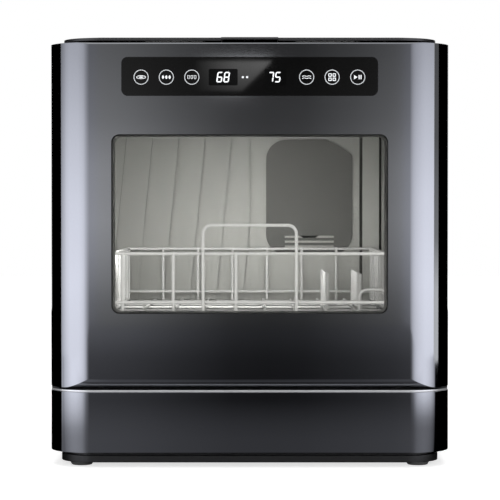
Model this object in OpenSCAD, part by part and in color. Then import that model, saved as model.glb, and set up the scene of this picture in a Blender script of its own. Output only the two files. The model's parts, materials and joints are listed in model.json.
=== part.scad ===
// Countertop dishwasher with a drop-down glazed door, a sliding wire rack and a built-in water tank.
// Millimetres, +Z up, +X to the right of someone facing the door, front towards -Y.
// The origin is on the resting surface, under the middle of the casing.

/* [Fasteners] */
// Radius of the screws' heads
screw_r = 2.2; // [1.8:0.1:2.6]

/* [Casing] */
// Width over the side panels
case_w = 420; // [400:5:450]
// Depth from door face to rear cover
case_d = 435; // [425:5:470]
// Height over the top cover
case_h = 450; // [440:5:480]
// Radius of the two vertical front edges
corner_r = 44; // [30:1:46]
// Radius of the two vertical rear edges
rear_corner_r = 10; // [8:1:14]
// Thickness of the folded side panels
sheet_t = 1.5; // [1:0.1:2]
// Thickness of the moulded front shells
panel_t = 3; // [2.8:0.1:3.6]
// Thickness of the rear cover
rear_t = 2; // [1.5:0.1:2.6]
// Width of the side panels' folded flanges
side_flange = 20; // [18:1:24]

/* [Front heights] */
// Height of the feet below the plinth
foot_h = 4.5; // [4:0.5:8]
// Height of the plinth
plinth_h = 7.2; // [6:0.2:10]
// Recessed band between plinth and lower panel
plinth_gap = 4; // [3:0.5:6]
// Height of the fixed lower panel
lower_panel_h = 63.3; // [60:0.1:70]
// Height of the bright strip over the lower panel
trim_h = 2; // [1.5:0.1:3]
// How far the bright strip stands back from the lower panel
trim_inset = 0.8; // [0.4:0.1:1.2]
// Width of the bright strip, front to back
trim_w = 6; // [4:0.5:8]
// Gap between the strip and the door
door_gap = 2.3; // [2:0.1:4]
// Gap between the door and the top cover
top_gap = 2.2; // [2.2:0.1:4]
// Height of the top cover with its crown
cover_h = 6.2; // [6:0.1:8]
// Height of the top cover's upright edge
cover_edge_h = 2.8; // [2.4:0.1:3.2]

/* [Top cover] */
// Distance of the top cover from the casing's sides
cover_side = 14; // [12:1:18]
// Distance of the top cover behind the door's face
cover_front = 3.5; // [2.5:0.5:5]
// Distance of the top cover from the casing's back
cover_back = 1.5; // [1:0.5:3]
// Corner radius of the top cover
cover_r = 40; // [34:1:42]
// Wall of the top cover
cover_wall = 4; // [3:0.5:5]
// Thickness of the top cover's skin
cover_skin = 2.4; // [2:0.1:2.6]

/* [Plinth and feet] */
// How far the plinth stands back from the casing
plinth_inset = 11; // [8:1:14]
// How far the recessed band stands back from the casing
band_inset = 17; // [15:1:19]
// Floor thickness of the base tray
tray_t = 3; // [2.5:0.1:4]
// Thickness of the base tray's rim
tray_rim_t = 2.5; // [2:0.1:3]
// Radius of a foot where it meets the plinth
foot_r = 13; // [10:0.5:15]
// Radius of a foot at the floor
foot_tip_r = 10.5; // [8:0.5:12]
// Distance of the feet from the casing sides and ends
foot_inset = 33; // [30:1:40]

/* [Door] */
// Thickness of the door from face to inner panel
door_t = 43; // [41:0.5:46]
// Hinge axis behind the face and above the bottom edge
hinge_r = 10; // [9.5:0.1:11]
// Gap behind the closed door for its swing and seal
swing_gap = 3.5; // [3.2:0.1:5]
// Thickness of the moulded inner panel
inner_t = 2.5; // [2:0.1:3]
// Return flange of the inner panel
inner_flange = 12; // [8:1:16]
// Radius of the door's top front edge
door_edge_r = 2; // [1:0.5:3]
// Distance of the inner panel's screws from the casing's sides
door_screw_side = 24; // [22:1:28]
// Distance of the inner panel's end screws from the door's ends
door_screw_end = 30; // [28:1:40]

/* [Window] */
// Width of the window
window_w = 287; // [260:1:300]
// Window sill above the door's bottom edge
window_sill = 77; // [76:0.5:90]
// Top of the window below the door's top edge
window_head = 95; // [92:0.5:110]
// Corner radius of the window
window_r = 8.5; // [4:0.5:14]
// Thickness of both panes
glass_t = 3; // [2.5:0.1:3.6]
// Ledge that the outer pane is bonded to
glass_ledge = 1.5; // [1:0.1:3]
// How far the inner pane laps the inner panel
glass_lap = 5; // [3:0.5:7]
// Width of the rubber around the inner pane
seal_w = 3; // [2:0.5:4]

/* [Control panel] */
// Width of the control glass
control_w = 266; // [240:1:280]
// Height of the control glass
control_h = 40.4; // [36:0.1:44]
// Corner radius of the control glass
control_r = 6.6; // [4:0.1:10]
// Top of the control glass below the door's top edge
control_drop = 15; // [12:0.5:20]
// Thickness of the control glass
control_glass_t = 2; // [1.5:0.1:2.2]
// Ledge round the control glass
control_ledge = 4; // [3:0.5:6]
// Distance from the panel skin to the control board
board_gap = 8; // [6:0.5:10]
// Thickness of the circuit boards
board_t = 1.6; // [1.2:0.1:2]
// Space between neighbouring touch keys
key_pitch = 25.8; // [22:0.1:28]
// Distance of the number displays from the middle
display_x = 27; // [25:0.5:30]
// Width of a number display
display_w = 26; // [20:0.5:30]
// Height of a number display
display_h = 17; // [14:0.5:20]
// Distance of the first touch keys from the middle
key_start = 59.5; // [56:0.5:64]

/* [Hinges] */
// Distance of each hinge from the start of the round corner
hinge_inset = 3.4; // [2:0.1:8]
// Thickness of a hinge arm
arm_t = 4; // [3:0.5:5]
// Radius of a hinge pin
hinge_pin_r = 3; // [2.5:0.1:3.5]
// Radius of the eye round the pin
hinge_eye_r = 6; // [5.5:0.1:6.2]
// Height of the arm behind its eye
arm_h = 9; // [8:0.5:10]
// Width of the arm's upright leg
leg_w = 26; // [20:1:32]
// Width of the arm's foot plate on each side of it
arm_foot_w = 17; // [14:1:20]
// Thickness of each clevis ear
ear_t = 5; // [4:0.5:7]

/* [Wash chamber] */
// Distance of the tub's side walls from the casing's sides
tub_side_gap = 42; // [38:0.5:44]
// Gap between the tub's roof and the top of the door
tub_drop = 26.6; // [24:0.1:32]
// Radius of the tub's upper corners
tub_r = 18; // [12:1:24]
// Thickness of the tub sheet
tub_t = 2; // [1.5:0.1:2.5]
// Distance from the tub's back wall to the rear cover
rear_space = 65.5; // [60:0.5:75]
// Thickness of the front frame
frame_t = 2; // [1.6:0.1:2.5]
// Lip left by the front frame round the chamber mouth
mouth_lip = 4; // [3:0.5:5]
// Width of the door seal
door_seal_w = 9; // [7:0.5:10]
// Thickness of the door seal's flat base
seal_base_t = 1.8; // [1.4:0.1:2.2]
// Number of stepped panels on the back wall
step_count = 5; // [3:1:6]
// Width of one stepped panel
step_w = 32.2; // [28:0.1:33]
// Depth of a stepped panel at its raised edge
step_depth = 5; // [3:0.5:8]
// Lean of the stepped panels in degrees
step_lean = 5.6; // [0:0.2:7]
// Width of the corner pilaster
pilaster_w = 27; // [20:1:30]
// Projection of the corner pilaster
pilaster_d = 7; // [4:0.5:9]
// Middle of the corner pilaster from the tub's side wall
pilaster_inset = 20; // [18:1:24]

/* [Drying vent] */
// Width of the vent cover
vent_w = 106; // [96:1:112]
// Height of the vent cover
vent_h = 140; // [120:2:144]
// Thickness of the vent cover
vent_t = 3; // [2.4:0.2:4]
// Gap between the vent cover and the corner pilaster
vent_gap = 8.5; // [6:0.5:14]
// Distance of the vent cover's middle below the tub's roof
vent_drop = 130; // [120:1:134]
// Radius of the fan's housing
fan_r = 22; // [18:1:24]
// Thickness of the fan's frame
fan_frame_t = 20; // [16:1:24]
// Length of the fan's motor behind its frame
fan_motor_l = 18; // [12:1:20]

/* [Lamp and magnets] */
// Width of the lamp's lens
lamp_w = 120; // [80:5:160]
// Depth of the lamp's lens, front to back
lamp_d = 18; // [14:1:24]
// Height of the lamp's lens
lamp_h = 5; // [4:0.5:6]
// Distance of the door magnets from the middle
magnet_x = 70; // [60:1:90]
// Width of a door magnet
magnet_w = 22; // [16:1:26]
// Height of a door magnet
magnet_h = 10; // [8:0.5:11]
// Middle of the door magnets below the door's top edge
magnet_drop = 10; // [10:0.5:12]

/* [Rack] */
// Diameter of the coated wire
wire_d = 3.4; // [3:0.1:4]
// Distance of the rack's side wires from the tub's side walls
rack_side_gap = 20; // [19:0.5:22]
// Distance of the rack's front wires behind the door's inner face
rack_front_gap = 14.5; // [14:0.5:20]
// Distance of the rack's back wires from the tub's back wall
rack_back_gap = 14; // [12:1:24]
// Height of the rack's floor wires above the tub floor
rack_rise = 59.9; // [59.6:0.1:64]
// Height of the lower rail above the floor wires
low_rail_rise = 9.6; // [8:0.1:12]
// Height of the top rail above the floor wires
top_rail_rise = 61.7; // [50:0.1:70]
// Height of the handle hoop above the top rail
hoop_rise = 30.3; // [24:0.1:36]
// Width of the handle hoop
hoop_w = 99.4; // [90:0.2:110]
// Bend radius of the wire
bend_r = 9; // [7:0.5:12]
// Pitch of the tines
tine_pitch = 24; // [20:1:30]
// Height of the tines
tine_h = 38; // [30:1:46]
// Spacing of the floor's wires, from the rack's right side
floor_pitch = 32.9; // [32.8:0.1:36]
// Distance of the first row of tines from the rack's right side
tine_inset = 62; // [58:1:62]
// Distance of the first tine behind the rack's front wires
tine_start = 70; // [60:1:80]
// Number of tines in a row
tine_count = 8; // [6:1:8]
// Distance between the rows of tines
tine_gap = 36; // [30:1:38]
// Width of the low hoop beside the tines
low_hoop_w = 30; // [26:1:34]
// Height of the low hoop above the floor wires
low_hoop_rise = 22.2; // [20:0.1:28]
// How deep wires sink into each other at a weld
weld = 0.6; // [0.4:0.1:0.8]
// Thickness of the channel rails
rail_t = 2; // [1.6:0.2:2.4]
// Travel of the rack while the door opens fully
rack_travel = 122.5; // [110:0.1:123]
// Length of a glide shoe
glide_l = 24; // [18:1:28]
// Height of a glide shoe
glide_h = 11.4; // [9:0.2:12]

/* [Spray arm and filter] */
// Distance of the spray arm's axis in front of the middle
spray_y = 10; // [5:1:15]
// Reach of the spray arm
spray_reach = 122; // [100:1:124]
// Thickness of the spray arm
spray_t = 10; // [8:0.5:12]
// Height of the spray arm over the tub floor
spray_rise = 18; // [16:0.5:20]
// Radius of the spray arm's bearing post
post_r = 8; // [6:0.5:9]
// Radius of the pipe under the bearing post
pipe_r = 6; // [5:0.5:6]
// Distance of the filter behind the middle
filter_y = 85; // [80:1:95]
// Radius of the filter cup
filter_r = 30; // [26:1:32]
// Radius of the filter's top plate
filter_plate_r = 40; // [37:1:44]
// Depth of the filter cup below the tub floor
filter_depth = 36; // [30:1:38]
// Room round the filter cup in the sump
filter_room = 4; // [3:0.5:5]
// Room under the filter cup in the sump
sump_room = 13; // [11:1:15]
// Wall of the sump
sump_t = 3; // [2.4:0.2:3.6]

/* [Detergent dispenser] */
// Width of the dispenser cup
cup_w = 64; // [50:1:80]
// Height of the dispenser cup
cup_h = 22.5; // [18:0.5:22.5]
// Depth of the dispenser cup
cup_d = 22; // [16:1:26]
// Wall of the dispenser cup
cup_t = 2; // [1.5:0.1:2.5]
// Height of the lid's hinge above the door axis
cup_rise = 14.5; // [14:0.1:15]
// Thickness of the dispenser lid
cup_lid_t = 2; // [1.6:0.1:2.4]
// Radius of the dispenser lid's barrel
cup_barrel_r = 2.3; // [2:0.1:2.6]
// Radius of the dispenser lid's stub pins
cup_pin_r = 1.2; // [1:0.1:1.4]
// Rim of the dispenser cup round its mouth
cup_rim = 4; // [3.6:0.1:4.4]

/* [Water filling] */
// Width of the fill lid
fill_w = 100; // [80:1:120]
// Depth of the fill lid, front to back
fill_d = 56; // [48:1:60]
// Rear edge of the fill lid in front of the casing's back
fill_back = 44; // [43:0.5:48]
// Thickness of the fill lid
fill_t = 3; // [2.6:0.1:3.2]
// Radius of the fill lid's barrel
fill_barrel_r = 2.4; // [2.2:0.1:2.6]
// Radius of the fill lid's stub pins
fill_pin_r = 1.4; // [1.2:0.1:1.6]
// Radius of the funnel's neck
neck_r = 14; // [10:1:16]
// Length of the funnel's neck above the tank
neck_l = 21; // [16:1:30]
// How far the funnel's neck reaches into the tank
neck_dip = 6; // [4:1:10]
// Ledge round the fill opening on which the lid rests
fill_rest = 7; // [6:0.5:9]
// Width of the water tank
tank_w = 320; // [300:5:340]
// Depth of the water tank
tank_d = 52; // [44:1:54]
// Gap between the water tank and the hose recess under it
tank_rise = 4; // [2:0.5:8]
// Gap between the water tank and the rear cover
tank_rear_gap = 4; // [3:0.5:6]
// Height of the water tank's full-width lower part
tank_step_h = 160; // [140:2:164]
// Gap between the water tank's upper part and the fan
tank_fan_gap = 8; // [4:1:16]
// Wall of the water tank
tank_t = 2.5; // [2:0.1:3]

/* [Release key] */
// Width of the door release key
key_w = 59; // [50:1:70]
// Depth of the door release key, front to back
key_d = 66; // [62:1:76]
// Thickness of the door release key at its front
key_t = 2.4; // [2:0.1:2.4]
// How far the key stands above the cover's edge
key_proud = 0.7; // [0.4:0.1:1]
// Travel of the door release key
key_travel = 1.2; // [0.8:0.1:1.3]
// Radius of the key's stem
key_stem_r = 3; // [2.5:0.1:3.5]
// How far the key stands out in front of the cover's edge
key_lap = 0.4; // [0.2:0.1:1]
// Distance of the key's stem behind the front frame
stem_back = 12; // [10:0.5:14]
// Top of the switch block below the door's top edge
switch_drop = 8; // [7:0.5:9]

/* [Pumps and heater] */
// Radius of the wash pump's spiral housing
pump_r = 28; // [25:1:29]
// Length of the wash pump's motor
pump_l = 62; // [54:1:64]
// Radius of the drain pump's housing
drain_pump_r = 22; // [20:1:23]
// Length of the drain pump's motor
drain_pump_l = 42; // [36:1:50]
// Radius of the flow heater
heater_r = 16; // [14:0.5:17]
// Length of the flow heater
heater_l = 120; // [110:2:126]
// Radius of the wash hoses
hose_r = 6; // [5:0.5:6.5]
// Radius of the drain hose
drain_hose_r = 7; // [6:0.5:7]

/* [Hose ports] */
// Distance of the recess's inlet end from the middle
recess_x = 150; // [148:1:152]
// Width of the recess
recess_w = 122; // [118:1:130]
// Bottom of the recess above the resting surface
recess_z0 = 24; // [22:1:25]
// Height of the recess
recess_h = 36; // [35:1:40]
// Depth of the recess
recess_d = 30; // [28:1:34]
// Distance between neighbouring ports
port_pitch = 36; // [34:1:38]
// Radius of the threaded inlet
inlet_r = 13.2; // [11:0.1:13.4]
// Length of the threaded inlet
inlet_l = 16; // [12:1:22]
// Radius of the drain spigot
drain_r = 9; // [8:0.5:10]
// Length of the drain spigot
drain_l = 24; // [18:1:26]
// Shoulder of both spigots in the recess's wall
spigot_step = 1.5; // [1:0.1:2]
// Radius of the mains gland in the recess's wall
gland_r = 7; // [6.5:0.1:8]
// Radius of the gland's bore
gland_bore_r = 3.6; // [3:0.1:4]
// Flange thickness of the gland
gland_flange_t = 4; // [3:0.5:5]

/* [Louvres] */
// Number of louvres in each group
louvre_count = 9; // [5:1:12]
// Distance from one louvre to the next
louvre_pitch = 8; // [7:0.5:10]
// First louvre below the door's top edge
louvre_drop = 14; // [12:1:20]
// Middle of each group of louvres from the middle of the cover
louvre_x = 95; // [85:1:105]
// Width of a louvre
louvre_w = 70; // [50:1:80]
// Height of a louvre
louvre_h = 3.2; // [2.5:0.1:4]

/* [Power board] */
// Distance of the power board from the casing's right side
power_side = 52; // [48:1:54]
// Distance of the power board behind the casing's front
power_front = 82.5; // [80:0.5:88]
// Width of the power board
power_w = 90; // [84:1:94]
// Depth of the power board
power_d = 70; // [66:1:76]
// Height of the stand-offs under the power board
power_rise = 8; // [6:1:12]

/* [Clearances] */
// Play round parts that seat in one another
fit_gap = 0.3; // [0.2:0.05:0.4]
// Radial play of pins in their bores
run_gap = 0.05; // [0.03:0.01:0.08]
// Seam between neighbouring casing parts
seam_gap = 0.6; // [0.4:0.1:1]

/* [Hidden] */
$fn = 48;
eps = 0.01;
wire_r = wire_d / 2;
ear_gap = 0.6;
hinge_x = case_w / 2 - corner_r - arm_t / 2 - ear_gap - ear_t - hinge_inset;
tub_w = case_w - 2 * tub_side_gap;
rack_w = tub_w - 2 * rack_side_gap;

// Levels, from the resting surface upwards
plinth_z = foot_h;
band_z = plinth_z + plinth_h;
panel_z = band_z + plinth_gap;
trim_z = panel_z + lower_panel_h;
door_z = trim_z + trim_h + door_gap;
cover_z = case_h - cover_h;
cover_edge_z = cover_z + cover_edge_h;
door_top = cover_z - top_gap;
tray_top = plinth_z + tray_t;
axis_z = door_z + hinge_r;
tub_z = axis_z + arm_h / 2 + fit_gap + tub_t;
tub_top = door_top - tub_drop;
rack_floor_z = tub_z + rack_rise;

// Planes, from front to back
front_y = -case_d / 2;
back_y = case_d / 2;
casing_y = back_y - rear_t;
axis_y = front_y + hinge_r;
door_in_y = front_y + door_t;
cab_y = door_in_y + swing_gap;
tub_front_y = cab_y + frame_t;
tub_back_y = back_y - rear_space;

// Chamber mouth in the front frame
mouth_w = tub_w - 2 * mouth_lip;
mouth_z0 = tub_z + mouth_lip + 1;
mouth_z1 = tub_top - mouth_lip;
mouth_h = mouth_z1 - mouth_z0;
mouth_cz = (mouth_z0 + mouth_z1) / 2;
mouth_r = 12;

// Window and control glass places
window_h = door_top - door_z - window_sill - window_head;
window_cz = door_z + window_sill + window_h / 2;
inner_pane_y = door_in_y - inner_t - glass_t;
pane_w = window_w + 2 * glass_lap;
pane_h = window_h + 2 * glass_lap;
control_cz = door_top - control_drop - control_h / 2;
board_y = front_y + panel_t + board_gap;

// Door and its fittings
door_h = door_top - door_z;
door_screw_places = [
    for (s = [-1, 1], z = [door_z + door_screw_end, window_cz, door_top - door_screw_end])
        [s * (case_w / 2 - door_screw_side), z]
];
magnet_z = door_top - magnet_drop;
cup_axis_y = door_in_y + 0.4;
cup_axis_z = axis_z + cup_rise;
cup_z0 = cup_axis_z + 3.5;
cup_low_z = cup_axis_z - cup_rim - 0.4;
cup_high_z = cup_z0 + cup_h + cup_rim;

// Top cover, its fill opening and the key
cover_w = case_w - 2 * cover_side;
cover_d = case_d - cover_front - cover_back;
cover_cy = (cover_front - cover_back) / 2;
cover_slope = cover_r - cover_wall - 2;
fill_axis_y = back_y - fill_back;
fill_axis_z = case_h - fill_barrel_r;
fill_mouth_w = fill_w - 2 * fill_rest;
fill_mouth_d = fill_d - 2 * fill_rest - 2;
fill_mouth_y = fill_axis_y - fill_barrel_r - fill_rest - 1 - fill_mouth_d / 2;
funnel_z = tub_top + tub_t + 4;
key_y0 = front_y + cover_front - key_lap;
key_y1 = key_y0 + key_d;
key_z0 = cover_edge_z + key_proud - key_t;
stem_y = tub_front_y + stem_back;
switch_top = door_top - switch_drop;
switch_bore_d = 5;
stem_z0 = switch_top - switch_bore_d + key_travel + fit_gap + 1;

// Chamber fittings
pilaster_x = tub_w / 2 - pilaster_inset;
vent_x = pilaster_x - pilaster_w / 2 - vent_gap - vent_w / 2;
steps_x1 = vent_x - vent_w / 2 - 20;
vent_z = tub_top - vent_drop;
rail_z0 = rack_floor_z - glide_h + 0.4;
rail_z1 = rail_z0 + glide_h + 2 * fit_gap;
rail_y1 = tub_back_y - step_depth - 5;

// Rear recess and its ports
recess_x0 = -recess_x;
recess_x1 = recess_x0 + recess_w;
recess_y = back_y - recess_d;
recess_z1 = recess_z0 + recess_h;
port_wall_y = recess_y - rear_t;
port_z = (recess_z0 + recess_z1) / 2;
drain_x = (recess_x0 + recess_x1) / 2 + 1;
inlet_x = drain_x - port_pitch;
gland_x = drain_x + port_pitch;
spigot_back_y = port_wall_y - 14;

// Water tank and fan
tank_y = casing_y - tank_rear_gap - tank_d / 2;
tank_z = recess_z1 + rear_t + tank_rise;
tank_top = funnel_z - neck_l;
tank_h = tank_top - tank_z;
fan_x = vent_x;
tank_upper_w = tank_w / 2 + fan_x - fan_r - 3 - tank_fan_gap;
fan_z = tank_z + tank_step_h + fan_r + 3 + fit_gap;

// Power board, sump, pumps and heater
power_x = case_w / 2 - power_side - power_w;
sump_r = filter_r + filter_room + sump_t;
sump_z = tub_z - filter_depth - sump_room - sump_t;
pump_z = sump_z + 14;
drain_z = sump_z + 10;
pump_x = -sump_r - 8;
drain_pump_x = sump_r + 8;
heater_x = -heater_l + 25;
heater_y = 15;
heater_z = tray_top + heater_r + 13;

// Rack
rack_y0 = door_in_y + rack_front_gap;
rack_y1 = tub_back_y - rack_back_gap;
low_rail_z = rack_floor_z + low_rail_rise;
top_rail_z = rack_floor_z + top_rail_rise;
hoop_z = top_rail_z + hoop_rise;
tine_rows = [rack_w / 2 - tine_inset, rack_w / 2 - tine_inset + tine_gap];
tine_y0 = rack_y0 + tine_start;
low_hoop_x = rack_w / 2 - low_hoop_w;
front_upright_x = [12.5 - rack_w / 2, 66.5 - rack_w / 2, -14.7];
glide_y0 = tub_front_y + rack_travel + 14 + glide_l / 2;
glide_y1 = rail_y1 - rail_t - 6 - glide_l / 2;

// ---------- shapes used by several parts ----------

// A flat rectangle with round corners, about its own middle
module rounded_rect(w, h, r) {
    square([w - 2 * r, h], center = true);
    square([w, h - 2 * r], center = true);
    for (sx = [-1, 1], sy = [-1, 1])
        translate([sx * (w / 2 - r), sy * (h / 2 - r)]) circle(r = r);
}

// A rounded plate standing upright between two planes, front y0 and back y1
module upright_plate(w, h, r, y0, y1, cx, cz) {
    translate([cx, y1, cz]) rotate([90, 0, 0]) linear_extrude(y1 - y0) rounded_rect(w, h, r);
}

// A box given by its low and high corners
module block(lo, hi) {
    translate(lo) cube(hi - lo);
}

// The casing's outline seen from above, drawn in by an inset; the rear cover lies behind it
module case_plan(inset) {
    fr = corner_r - inset;
    rr = max(rear_corner_r - inset, 1);
    hw = case_w / 2 - inset;
    y1 = casing_y - inset;
    polygon([[-hw, front_y + corner_r], [hw, front_y + corner_r], [hw, y1 - rr], [-hw, y1 - rr]]);
    translate([-case_w / 2 + corner_r, front_y + inset])
        square([case_w - 2 * corner_r, corner_r - inset + eps]);
    translate([-hw + rr, y1 - rr - eps]) square([2 * (hw - rr), rr + eps]);
    for (s = [-1, 1]) {
        translate([s * (case_w / 2 - corner_r), front_y + corner_r]) circle(r = fr);
        translate([s * (hw - rr), y1 - rr]) circle(r = rr);
    }
}

// The part of the outline in front of a plane
module front_plan(inset, y_end) {
    intersection() {
        case_plan(inset);
        translate([-case_w, front_y - 1]) square([2 * case_w, y_end - front_y + 1]);
    }
}

// The tub's arch seen from the front, drawn out by a margin, down to the level z0
module tub_section(out, z0) {
    hw = tub_w / 2 + out;
    translate([-hw, z0]) square([2 * hw, tub_top - tub_r - z0]);
    translate([-tub_w / 2 + tub_r, z0]) square([tub_w - 2 * tub_r, tub_top + out - z0]);
    for (s = [-1, 1])
        translate([s * (tub_w / 2 - tub_r), tub_top - tub_r]) circle(r = tub_r + out);
}

module rod_x(x0, x1, y, z, r) {
    translate([x0, y, z]) rotate([0, 90, 0]) cylinder(h = x1 - x0, r = r);
}

module rod_y(y0, y1, x, z, r) {
    translate([x, y1, z]) rotate([90, 0, 0]) cylinder(h = y1 - y0, r = r);
}

module rod_z(z0, z1, x, y, r) {
    translate([x, y, z0]) cylinder(h = z1 - z0, r = r);
}

// A quarter bend of wire in the plane of x and z, turning from up to sideways
module wire_bend(x, y, z, side) {
    translate([x + side * bend_r, y, z]) rotate([90, 0, 0]) rotate([0, 0, side > 0 ? 90 : 0])
        rotate_extrude(angle = 90) translate([bend_r, 0]) circle(r = wire_r);
}

// An upside-down U of wire in the plane of x and z
module wire_hoop(x0, x1, y, z0, z1) {
    rod_z(z0, z1 - bend_r, x0, y, wire_r);
    rod_z(z0, z1 - bend_r, x1, y, wire_r);
    rod_x(x0 + bend_r, x1 - bend_r, y, z1, wire_r);
    wire_bend(x0, y, z1 - bend_r, 1);
    wire_bend(x1, y, z1 - bend_r, -1);
}

// A pipe of radius r through points whose legs follow the axes, with bends of radius b
module pipe(points, r, b) {
    last = len(points) - 1;
    ways = [for (i = [0 : last - 1]) (points[i + 1] - points[i]) / norm(points[i + 1] - points[i])];
    cuts = [for (i = [0 : last]) i == 0 || i == last ? 0 : b * tan(acos(ways[i - 1] * ways[i]) / 2)];
    for (i = [0 : last - 1]) {
        from = points[i] + cuts[i] * ways[i];
        to = points[i + 1] - cuts[i + 1] * ways[i];
        translate(from) rotate([0, acos(ways[i][2]), atan2(ways[i][1], ways[i][0])])
            cylinder(h = norm(to - from), r = r);
        if (i > 0) pipe_bend(points[i] - cuts[i] * ways[i - 1], ways[i - 1], ways[i], r, b);
    }
}

// One bend of a pipe: it starts at a place in the way d0 and ends in the way d1
module pipe_bend(start, d0, d1, r, b) {
    inward = (d1 - (d0 * d1) * d0) / norm(d1 - (d0 * d1) * d0);
    middle = start + b * inward;
    across = cross(-inward, d0);
    multmatrix([for (k = [0 : 2]) [-inward[k], d0[k], across[k], middle[k]]])
        rotate_extrude(angle = acos(d0 * d1)) translate([b, 0]) circle(r = r);
}

// A helical spring standing on z = 0, with a whole number of turns
module coil(r, wire, h, turns) {
    sides = 6;
    steps = 12 * turns;
    rings = [
        for (i = [0 : steps], k = [0 : sides - 1])
            let (a = 30 * i, b = 360 * k / sides, q = r + wire * cos(b))
            [q * cos(a), q * sin(a), wire + (h - 2 * wire) * i / steps + wire * sin(b)]
    ];
    walls = [
        for (i = [0 : steps - 1], k = [0 : sides - 1])
            let (n = (k + 1) % sides)
            [i * sides + k, i * sides + n, (i + 1) * sides + n, (i + 1) * sides + k]
    ];
    ends = [[for (k = [sides - 1 : -1 : 0]) k], [for (k = [0 : sides - 1]) steps * sides + k]];
    polyhedron(points = rings, faces = concat(walls, ends));
}

// A pan-head screw pointing along +y, its head's top at the given place, grown by some play
module screw_y(x, y, z, r, play) {
    rod_y(y - 0.6 * r, y + play, x, z, r + play);
    rod_y(y - 4 * r - play, y - 0.6 * r + eps, x, z, 0.5 * r + play);
}

// ---------- base ----------

// Basin-shaped tray that carries the pumps; its plinth stands back under the casing
module base_tray() {
    color("#303032") difference() {
        union() {
            translate([0, 0, plinth_z]) linear_extrude(plinth_h) case_plan(plinth_inset);
            translate([0, 0, band_z - eps]) linear_extrude(plinth_gap + 2 * eps) case_plan(band_inset);
            translate([0, 0, panel_z]) linear_extrude(tray_rim_t) case_plan(panel_t + fit_gap);
        }
        translate([0, 0, tray_top]) linear_extrude(panel_z) case_plan(band_inset + tray_t);
        for (i = [-3 : 3])
            translate([i * 30 - 2.5, -30, plinth_z - 1]) cube([5, 60, tray_t + 2]);
    }
}

// Four rubber feet, narrower at the floor
module feet() {
    color("#2b2b2b") for (sx = [-1, 1], sy = [-1, 1])
        translate([sx * (case_w / 2 - foot_inset), sy * (case_d / 2 - foot_inset), 0])
            cylinder(h = foot_h, r1 = foot_tip_r, r2 = foot_r);
}

// Fixed lower front panel, wrapping round both corners, with a shelf on top
module lower_panel() {
    color("#343437") difference() {
        translate([0, 0, panel_z]) linear_extrude(lower_panel_h) front_plan(0, cab_y);
        translate([0, 0, panel_z - 1]) linear_extrude(lower_panel_h - panel_t + 1)
            front_plan(panel_t, cab_y + 1);
    }
}

// Bright strip lying on the lower panel
module trim_strip() {
    color("#c4c6c8") translate([0, 0, trim_z]) linear_extrude(trim_h) difference() {
        front_plan(trim_inset, cab_y);
        front_plan(trim_inset + trim_w, cab_y + 1);
    }
}

// ---------- casing ----------

// Flat frame behind the door: it closes the space round the chamber mouth
module front_frame() {
    frame_w = case_w - 2 * sheet_t - 2 * fit_gap;
    color("#222224") difference() {
        block([-frame_w / 2, cab_y, trim_z], [frame_w / 2, tub_front_y, door_top - sheet_t]);
        upright_plate(mouth_w, mouth_h, mouth_r, cab_y - 1, tub_front_y + 1, 0, mouth_cz);
        for (s = [-1, 1]) translate([s * hinge_x, 0, 0])
            block([-arm_t / 2 - fit_gap, cab_y - 1, axis_z - arm_h / 2 - fit_gap],
                  [arm_t / 2 + fit_gap, tub_front_y + 1, axis_z + arm_h / 2 + fit_gap]);
        for (s = [-1, 1]) upright_plate(magnet_w + 2 * fit_gap, magnet_h + 2 * fit_gap, 1,
            cab_y - 1, tub_front_y + 1, s * magnet_x, magnet_z);
    }
}

// One folded side panel: wall, rear return and the flange under the top cover
module side_panel() {
    side_y = cab_y + seam_gap;
    difference() {
        translate([0, 0, panel_z]) linear_extrude(door_top - panel_z) intersection() {
            case_plan(0);
            translate([case_w / 2 - side_flange, side_y]) square([side_flange, case_d]);
        }
        translate([0, 0, panel_z - 1]) linear_extrude(door_top - sheet_t - panel_z + 1)
            case_plan(sheet_t);
        cover_screws(0.1);
    }
}

module side_panel_left() {
    color("#151516") mirror([1, 0, 0]) side_panel();
}

module side_panel_right() {
    color("#151516") side_panel();
}

// Rear cover over both side panels' returns, with louvres and the recess for the hoses
module rear_cover() {
    half_w = case_w / 2 - rear_corner_r - seam_gap;
    color("#252527") difference() {
        union() {
            block([-half_w, casing_y, panel_z + seam_gap], [half_w, back_y, door_top - seam_gap]);
            block([recess_x0 - rear_t, recess_y - rear_t, recess_z0 - rear_t],
                  [recess_x1 + rear_t, back_y - eps, recess_z1 + rear_t]);
        }
        block([recess_x0, recess_y, recess_z0], [recess_x1, back_y + 1, recess_z1]);
        for (hole = [[inlet_x, inlet_r + spigot_step], [drain_x, drain_r + spigot_step], [gland_x, gland_r]])
            rod_y(port_wall_y - 1, recess_y + 1, hole[0], port_z, hole[1] + run_gap);
        for (s = [-1, 1], i = [0 : louvre_count - 1])
            translate([s * louvre_x, back_y, door_top - louvre_drop - i * louvre_pitch])
                cube([louvre_w, 20, louvre_h], center = true);
        cover_screws(0.1);
    }
}

// A round-cornered slab whose edge slopes in by c over its height
module sloped_slab(w, d, r, h, c) {
    translate([0, (d - 2 * r) / 2, 0]) rotate([90, 0, 0]) linear_extrude(d - 2 * r)
        polygon([[-w / 2, 0], [w / 2, 0], [w / 2 - c, h], [-w / 2 + c, h]]);
    translate([-(w - 2 * r) / 2, 0, 0]) rotate([90, 0, 90]) linear_extrude(w - 2 * r)
        polygon([[-d / 2, 0], [d / 2, 0], [d / 2 - c, h], [-d / 2 + c, h]]);
    for (sx = [-1, 1], sy = [-1, 1]) translate([sx * (w / 2 - r), sy * (d / 2 - r), 0])
        cylinder(h = h, r1 = r, r2 = r - c, $fn = 96);
}

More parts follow.
